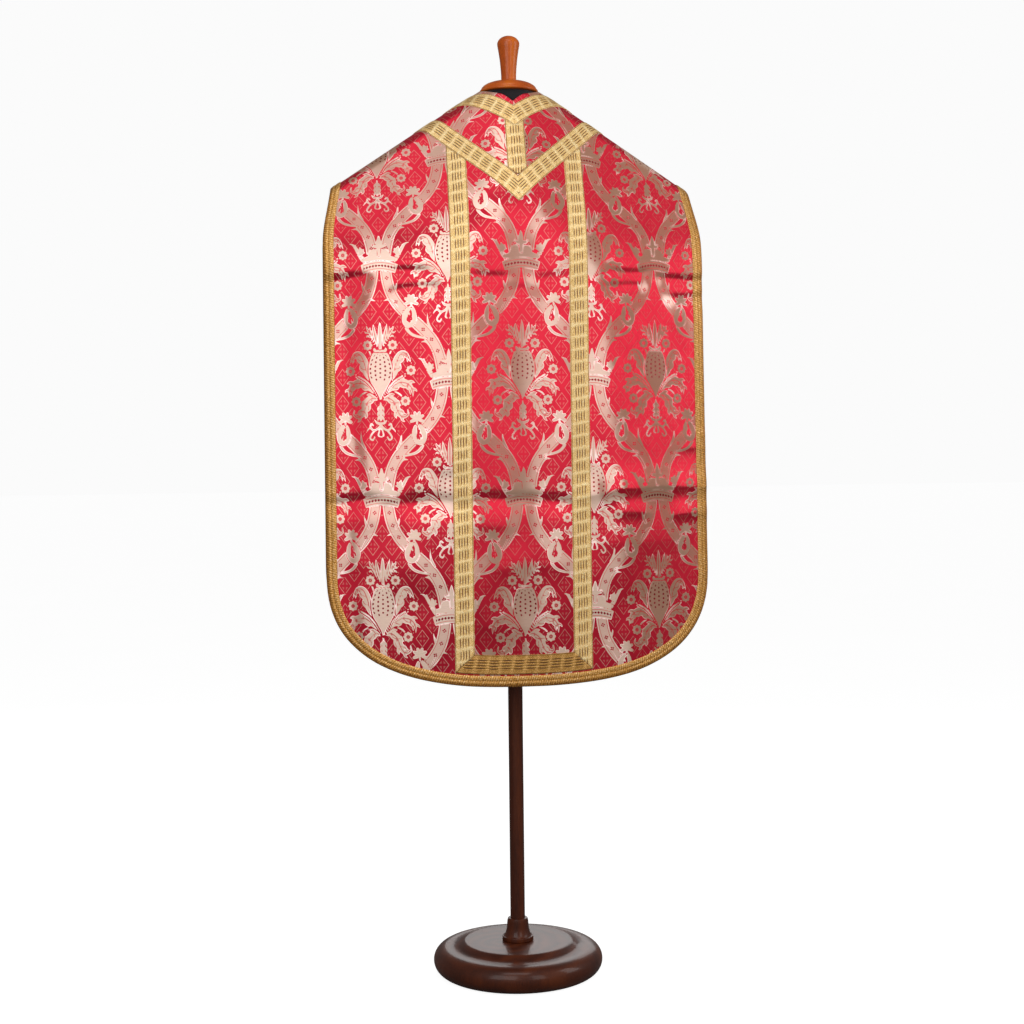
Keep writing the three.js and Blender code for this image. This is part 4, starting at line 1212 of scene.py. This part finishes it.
def binding_stations(side):
    """Points of the outline, and those a braid's width inside: shoulder tip, straight edge, superellipse."""
    share = np.linspace(0, 1, 56)[:-1]
    outer = blend(SHOULDER_HALF, HALF_WIDTH, (1 - np.cos(np.pi * share)) / 2) - BINDING_INSET
    inner = outer - BINDING
    outer_v = ridge_v(outer, side) + share * TIP_LENGTH
    inner_v = blend(ridge_v(inner, side) + share * TIP_LENGTH, outer_v, np.maximum(0, 2 * share - 1))
    tip = np.stack([outer, outer_v, inner, inner_v], axis=-1)

    straight_x, corner_v = HALF_WIDTH - BINDING_INSET, RIDGE_TOP - CORNER_TOP
    v = np.arange(ridge_v(straight_x, side) + TIP_LENGTH, corner_v, BINDING_STEP)
    edge = np.stack([np.full_like(v, straight_x), v, np.full_like(v, straight_x - BINDING), v], axis=-1)

    height = CORNER_TOP - HEM_HEIGHT - BINDING_INSET
    angle = np.linspace(0, np.pi / 2, 1200)
    x = straight_x * np.cos(angle) ** (2 / CORNER_POWER)
    drop = height * np.sin(angle) ** (2 / CORNER_POWER)
    run = np.concatenate([[0], np.cumsum(np.hypot(np.diff(x), np.diff(drop)))])
    even = np.linspace(0, run[-1], int(run[-1] / BINDING_STEP))
    x, drop = np.interp(even, run, x), np.interp(even, run, drop)
    steep = CORNER_POWER - 1
    normal = np.stack([(x / straight_x) ** steep / straight_x, (drop / height) ** steep / height])
    inward = BINDING * normal / np.hypot(*normal)
    corner = np.stack([x, corner_v + drop, x - inward[0], corner_v + drop - inward[1]], axis=-1)
    half = np.concatenate([tip, edge, corner[1:]])
    return np.concatenate([half * (-1, 1, -1, 1), half[-2::-1]])


def edge_binding(name, side, material):
    """The braid over the outline; its cords swell every 7 mm, in turn."""
    stations = binding_stations(side)
    share = BINDING_SECTION[:, 0] / BINDING
    x = blend(stations[:, 2:3], stations[:, 0:1], share)
    v = blend(stations[:, 3:4], stations[:, 1:2], share)
    run = np.concatenate([[0], np.cumsum(np.hypot(*np.diff(stations[:, :2], axis=0).T))])[:, None]
    s = np.broadcast_to(BINDING_SECTION[:, 0], x.shape)
    in_turn = np.where(s > BINDING_GROOVE, np.pi, 0)
    on_face = BINDING_SECTION[:, 1] > BINDING_FACE
    swell = SWELL * np.cos(2 * np.pi * run / SWELL_EVERY + in_turn) * on_face
    lift = np.broadcast_to(BINDING_SECTION[:, 1], x.shape) + swell
    return braid_tube(name, x, v, side, s, run, lift, material)


# %% Binding: bronze-gold braid
binding_braid = new_material("bronze_braid")
edge = partial(add, binding_braid)
s, t, _ = read(binding_braid, "braid")
twist = wave(edge, edge("Math.MULTIPLY_ADD", s, 0.35, t), BINDING_TWIST)
fine = wave(edge, edge("Math.MULTIPLY_ADD", s, -0.6, t), BINDING_THREAD)
# The groove between the two cords is a dip in the bump, and painted shade darkens it.
groove_dip_and_shade = edge("Math.ABSOLUTE", edge("Math.SUBTRACT", s, BINDING_GROOVE))
groove_dip_and_shade = edge("MapRange", groove_dip_and_shade, 0.4, 2.2, 1.0, 0.0, clamp=True)
glint = edge("TexNoise", Vector=edge("TexCoord").outputs["Object"], Scale=560.0, Detail=2.0)
tone = edge("Math.MULTIPLY_ADD", twist, 0.13, edge("Math.MULTIPLY_ADD", glint, 1.5, -0.25))
# Painted shade: the braid gets darker towards the part that turns over the edge.
outer = edge("MapRange", s, 12.5, 15.5, 0.0, 0.3, clamp=True)
tone = edge("Math.SUBTRACT", edge("Math.MULTIPLY_ADD", fine, 0.07, tone), outer)
tone = edge("Math.MULTIPLY_ADD", groove_dip_and_shade, -0.2, tone)
ramp = set_stops(edge("ValToRGB", tone), 0.05, "#7A4A18", "#D2943F", 0.95, "#FFE0A8")
height = edge("Math.MULTIPLY_ADD", twist, 0.2, edge("Math.MULTIPLY", fine, 0.12))
height = edge("Math.MULTIPLY_ADD", groove_dip_and_shade, -0.3, height)
bump = edge("Bump", Strength=0.7, Distance=0.0006, Height=height)
edge("OutputMaterial", edge("BsdfPrincipled", Base_Color=ramp, Metallic=0.55, Roughness=0.42, Normal=bump))
bindings = {
    "front": edge_binding("binding_front", FRONT, binding_braid),
    "back": edge_binding("binding_back", BACK, binding_braid),
}

# %% [markdown]
# ## The stand
#
# The stand's wooden pieces are turned on a lathe, so each is a profile carried round the axis. The base and
# pole are dark stained wood under varnish; the neck cap and finial are honey-coloured. The limbless form
# between them is padded and covered in black jersey, and hardly shows.

# %% Turned pieces
TINY = 0.2


def turned(name, profile, material, around):
    """A profile of (radius, height) carried round the axis. Its ends close on the axis with a tiny flat."""
    radius, height = np.array(profile, float).T
    angle = np.linspace(0, 2 * np.pi, around, endpoint=False)
    radius = np.maximum(radius, TINY)[:, None]
    points = np.broadcast_arrays(radius * np.cos(angle), radius * np.sin(angle), height[:, None])
    piece = grid_mesh(name, np.stack(points, axis=-1), material, closed=True, capped=True)
    close_outwards(piece)
    return piece


def arc(radius, height, size, start, end, count=12):
    """Points on part of a circle, by its middle, size and two angles in degrees."""
    angle = np.radians(np.linspace(start, end, count))
    return list(zip(radius + size * np.cos(angle), height + size * np.sin(angle)))


def eased(corners, count=6):
    """A smooth line through profile corners: Catmull-Rom, as for the strokes."""
    rows = [(radius, height, 1.0) for radius, height in corners]
    return [tuple(point[:2]) for point in curve_through(rows, count)]


# %% Wood under varnish
def varnished_wood(name, dark, middle, light, grain_mm):
    """Turned wood: rings stretched along the grain, fine pores, and a clear coat of varnish."""
    material = new_material(name)
    grain = partial(add, material)
    place = grain("TexCoord").outputs["Object"]
    long = grain(
        "Mapping", place, Location=(0.031, 0.017, 0.0), Rotation=(0.05, 0.09, 0.0), Scale=(1.0, 1.0, 0.12)
    )
    warp = grain("TexNoise", Vector=long, Scale=18.0, Detail=3.0)
    rings = grain(
        "TexWave", Vector=long, Scale=1000 / grain_mm / 20, Distortion=5.0, Detail=3.0, Detail_Scale=1.5,
        wave_type="RINGS", rings_direction="Z",
    )
    fine = grain("Mapping", place, Scale=(900.0, 900.0, 60.0))
    pores = grain("TexNoise", Vector=fine, Scale=1.0, Detail=2.0)
    tone = grain("Math.MULTIPLY_ADD", rings, 0.16, grain("Math.MULTIPLY_ADD", warp, 0.4, 0.03))
    tone = grain("Math.MULTIPLY_ADD", pores, 0.4, tone)
    ramp = set_stops(grain("ValToRGB", tone), 0.2, dark, middle, 0.85, light)
    bump = grain("Bump", Strength=0.08, Distance=0.0003, Height=pores)
    shader = grain(
        "BsdfPrincipled", Base_Color=ramp, Roughness=0.5, Specular_IOR_Level=0.2, Coat_Weight=0.25,
        Coat_Roughness=0.14, Normal=bump,
    )
    grain("OutputMaterial", shader)
    return material


honey_wood = varnished_wood("honey_varnished_beech", "#782A04", "#B8520E", "#D67618", 7.0)
dark_wood = varnished_wood("dark_varnished_beech", "#200A03", "#481C08", "#68300F", 4.0)

# %% Profiles of the turned pieces
# (radius, height) in millimetres, from the bottom up; a gap parts each piece from the next
BASE_TOP, FORM_BOTTOM, CAP_TOP = 60.0, 870.0, 1720.0
ON_BASE, UNDER_FORM, ON_CAP = BASE_TOP + GAP, FORM_BOTTOM - GAP, CAP_TOP + GAP
base_profile = [(TINY, 0.0)] + arc(138, 25, 25, -90, 90, 24)
base_profile += eased([(136, 50), (127, 50.3), (118, 52), (111, 56), (104, 60), (96, 60.6)], 5)[1:]
base_profile += [(60, BASE_TOP), (TINY, BASE_TOP)]
collar_profile = [(14.3, ON_BASE), (29, ON_BASE)] + arc(29, 61.3, 1, -90, 0, 4)
collar_profile += arc(28.8, 67.1, 1.2, 0, 90, 5)
collar_profile += eased([(27, 68.3), (24.5, 72), (21.6, 82), (20.6, 92), (20.2, 97)], 5)
collar_profile += arc(17.9, 101, 1.3, 0, 90, 5) + [(14.3, 102.3)]
pole_profile = [(TINY, ON_BASE), (14, ON_BASE)] + [(14, z) for z in np.linspace(104, UNDER_FORM, 8)]
pole_profile += [(TINY, UNDER_FORM)]
quarter_turn = np.linspace(0, np.pi / 2 * 0.999, 24)
cap_profile = [(TINY, 1697)] + arc(54, 1700, 3, -90, 60, 12)
cap_profile += [(17.5 + 36.5 * np.cos(t) ** 1.2, 1703 + 17 * np.sin(t)) for t in quarter_turn]
cap_profile += [(TINY, CAP_TOP)]
finial_profile = [(TINY, ON_CAP), (13.9, ON_CAP)]
finial_profile += eased([(14.5, 1721), (14.7, 1735), (16.4, 1757), (18.9, 1776), (21.2, 1789)], 6)
finial_profile += [(21.5 * np.cos(t), 1793 + 16 * np.sin(t)) for t in np.linspace(0, np.pi / 2, 16)]
stand = {
    "base": turned("turned_base", base_profile, dark_wood, 160),
    "pole_collar": turned("turned_collar", collar_profile, dark_wood, 96),
    "pole": turned("turned_pole", pole_profile, dark_wood, 64),
    "neck_cap": turned("turned_neck_cap", cap_profile, honey_wood, 128),
    "finial": turned("turned_finial", finial_profile, honey_wood, 96),
}

# %% [markdown]
# The form is a stack of ellipses, eased from ring to ring. Its shoulder line runs just under the cloth's
# ridge, where the garment rests. The jersey is matt black and knitted in fine columns.

# %% The dress form
# height, half width, half depth
FORM_RINGS = [
    (FORM_BOTTOM, 164, 106), (885, 171, 112), (960, 174, 114), (1060, 158, 103), (1150, 146, 98),
    (1250, 156, 106), (1350, 171, 108), (1420, 179, 101), (1480, 184, 90), (1530, 186, 77), (1570, 187, 62),
    (1596, 186, 48),
]
SHOULDER_RINGS = [(1614, 41), (1628, 39), (1642, 38.5), (1656, 39), (1668, 40.5)]
NECK_RINGS = [(1679, 57, 44), (1696.7, 50, 46)]
under = WALL * np.hypot(1, RIDGE_SLOPE) + 0.5


def shoulder_half(height):
    """Half the form's width at a height, from the ridge's hyperbola turned round."""
    return np.sqrt(((RIDGE_TOP - under - height) / RIDGE_SLOPE + RIDGE_ROUND) ** 2 - RIDGE_ROUND**2)


rings = np.array(FORM_RINGS + [(z, shoulder_half(z), d) for z, d in SHOULDER_RINGS] + NECK_RINGS, float)
FORM_TOP = NECK_RINGS[-1][0]
heights = np.concatenate(
    [[FORM_BOTTOM, 870.6, 872], np.linspace(876, 1600, 110), np.linspace(1603, FORM_TOP, 48)]
)
inset = 2.2 * np.clip((874 - heights) / 4, 0, 1) ** 2
half_width = np.interp(heights, rings[:, 0], rings[:, 1]) - inset
half_depth = np.interp(heights, rings[:, 0], rings[:, 2]) - inset
angle = np.linspace(0, 2 * np.pi, 144, endpoint=False)
form_points = np.stack(
    np.broadcast_arrays(
        half_width[:, None] * np.cos(angle), half_depth[:, None] * np.sin(angle), heights[:, None]
    ),
    axis=-1,
)
black_jersey = new_material("black_jersey")
knit = partial(add, black_jersey)
place = knit("TexCoord").outputs["Object"]
wales = knit("TexWave", Vector=place, Scale=260.0, Distortion=0.6, bands_direction="X")
fuzz = knit("TexNoise", Vector=place, Scale=420.0, Detail=3.0)
shade = knit("Mix", data_type="RGBA", Factor=fuzz, A="#0C0B0D", B="#1E1A1F")
wale_bump = knit("Bump", Strength=0.2, Distance=0.0004, Height=wales)
shader = knit(
    "BsdfPrincipled", Base_Color=shade, Roughness=0.9, Sheen_Weight=0.4, Sheen_Roughness=0.5, Normal=wale_bump
)
knit("OutputMaterial", shader)
stand["dress_form"] = grid_mesh("covered_form", form_points, black_jersey, closed=True, capped=True)
close_outwards(stand["dress_form"])

# %% [markdown]
# ## Light, floor and camera
#
# One broad soft lamp stands to the left, as in a studio, so that the metallic weft is bright where the
# cloth turns towards it and tan elsewhere. A narrower one stands to the right of the camera. One far to the
# right lights the satin and wood but is too far round to shine in the weft. Weak ones light the shoulders
# and the back. The floor is plain and pale, glows a little as a lit studio floor does, and runs up to a
# pale surrounding. Both are darker for every ray but the camera's, so that they don't wash out the threads.

# %% Lamps and surroundings
def area_lamp(name, place, target, size, power):
    """A rectangular lamp at a place in metres that faces a target."""
    lamp = bpy.data.lights.new(name, "AREA")
    lamp.shape, lamp.size, lamp.size_y = "RECTANGLE", *size
    lamp.energy = power
    holder = bpy.data.objects.new(name, lamp)
    holder.location = place
    holder.rotation_euler = Vector(np.array(target) - np.array(place)).to_track_quat("-Z", "Y").to_euler()
    bpy.context.scene.collection.objects.link(holder)


# place, target, size across and up in metres, power in watts
LAMPS = dict(
    key=((-1.36, -2.71, 2.08), (0, -0.15, 2.08), (2.0, 2.5), 47),
    beside_the_camera=((1.24, -3.2, 2.05), (0, -0.15, 2.05), (1.05, 2.5), 22),
    far_right=((2.56, -0.7, 1.95), (0.2, -0.15, 1.95), (1.0, 2.1), 27),
    top=((-0.3, -1.6, 3.6), (0, 0, 1.6), (1.8, 1.2), 22),
    back=((0.8, 3.0, 1.6), (0, 0, 1.2), (2.0, 1.6), 26),
)
for name, lamp in LAMPS.items():
    area_lamp(name, *lamp)

world = bpy.data.worlds.new("studio")
world.use_nodes = True
bpy.context.scene.world = world
world.node_tree.nodes.clear()
sky = partial(add, world)
dim, pale = (sky("Background", (grey, grey, grey, 1)) for grey in (0.21, 0.965))
sky("OutputWorld", sky("MixShader", sky("LightPath").outputs["Is Camera Ray"], dim, pale))
bpy.context.scene.view_settings.view_transform = "Standard"
print("lamps:", ", ".join(LAMPS))

# %% Floor
floor_finish = new_material("pale_floor")
paint = partial(add, floor_finish)
cloud = paint("TexNoise", Vector=paint("TexCoord").outputs["Object"], Scale=1.5, Detail=2.0)
tint = paint("Mix", data_type="RGBA", Factor=cloud, A="#929292", B="#9A9A9A")
seen = paint("LightPath").outputs["Is Camera Ray"]
dimmed = paint("Mix", data_type="RGBA", Factor=seen, A=(0.2, 0.2, 0.2, 1), B=tint)
glow = paint("Math.MULTIPLY", seen, 0.9)
shader = paint(
    "BsdfPrincipled", Base_Color=dimmed, Roughness=0.9, Emission_Color="#FFFFFF", Emission_Strength=glow
)
paint("OutputMaterial", shader)
floor_x, floor_y = np.meshgrid([-40000.0, 40000.0], [-40000.0, 40000.0])
floor = grid_mesh("studio_floor", np.stack([floor_x, floor_y, 0 * floor_x], axis=-1), floor_finish, flip=True)

# %% Camera
camera_data = bpy.data.cameras.new("camera")
camera_data.lens, camera_data.sensor_width = 58.3, 36.0
camera_data.shift_y = -0.0599
camera = bpy.data.objects.new("camera", camera_data)
camera.location = (-0.3755, -3.19, 1.006)
camera.rotation_euler = (np.pi / 2, np.radians(0.623), -np.radians(6.69))
bpy.context.scene.collection.objects.link(camera)
bpy.context.scene.camera = camera

# %% [markdown]
# ## The body
#
# Every piece rides on the one body. The breadths, bands, bindings and stand pieces each hide the frame's
# plain solid that they stand for.

# %% Bodies and hidden solids
for name, (piece, *_) in breadths.items():
    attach(piece, "root")
    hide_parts(name.split("_")[0] + "_panel")
for piece, *_ in linings.values():
    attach(piece, "root")
for node, piece in bands.items():
    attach(piece, "root")
    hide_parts(node)
for name, piece in bindings.items():
    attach(piece, "root")
    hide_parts(name + "_edge_binding")
for node, piece in stand.items():
    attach(piece, "root")
    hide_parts(node)
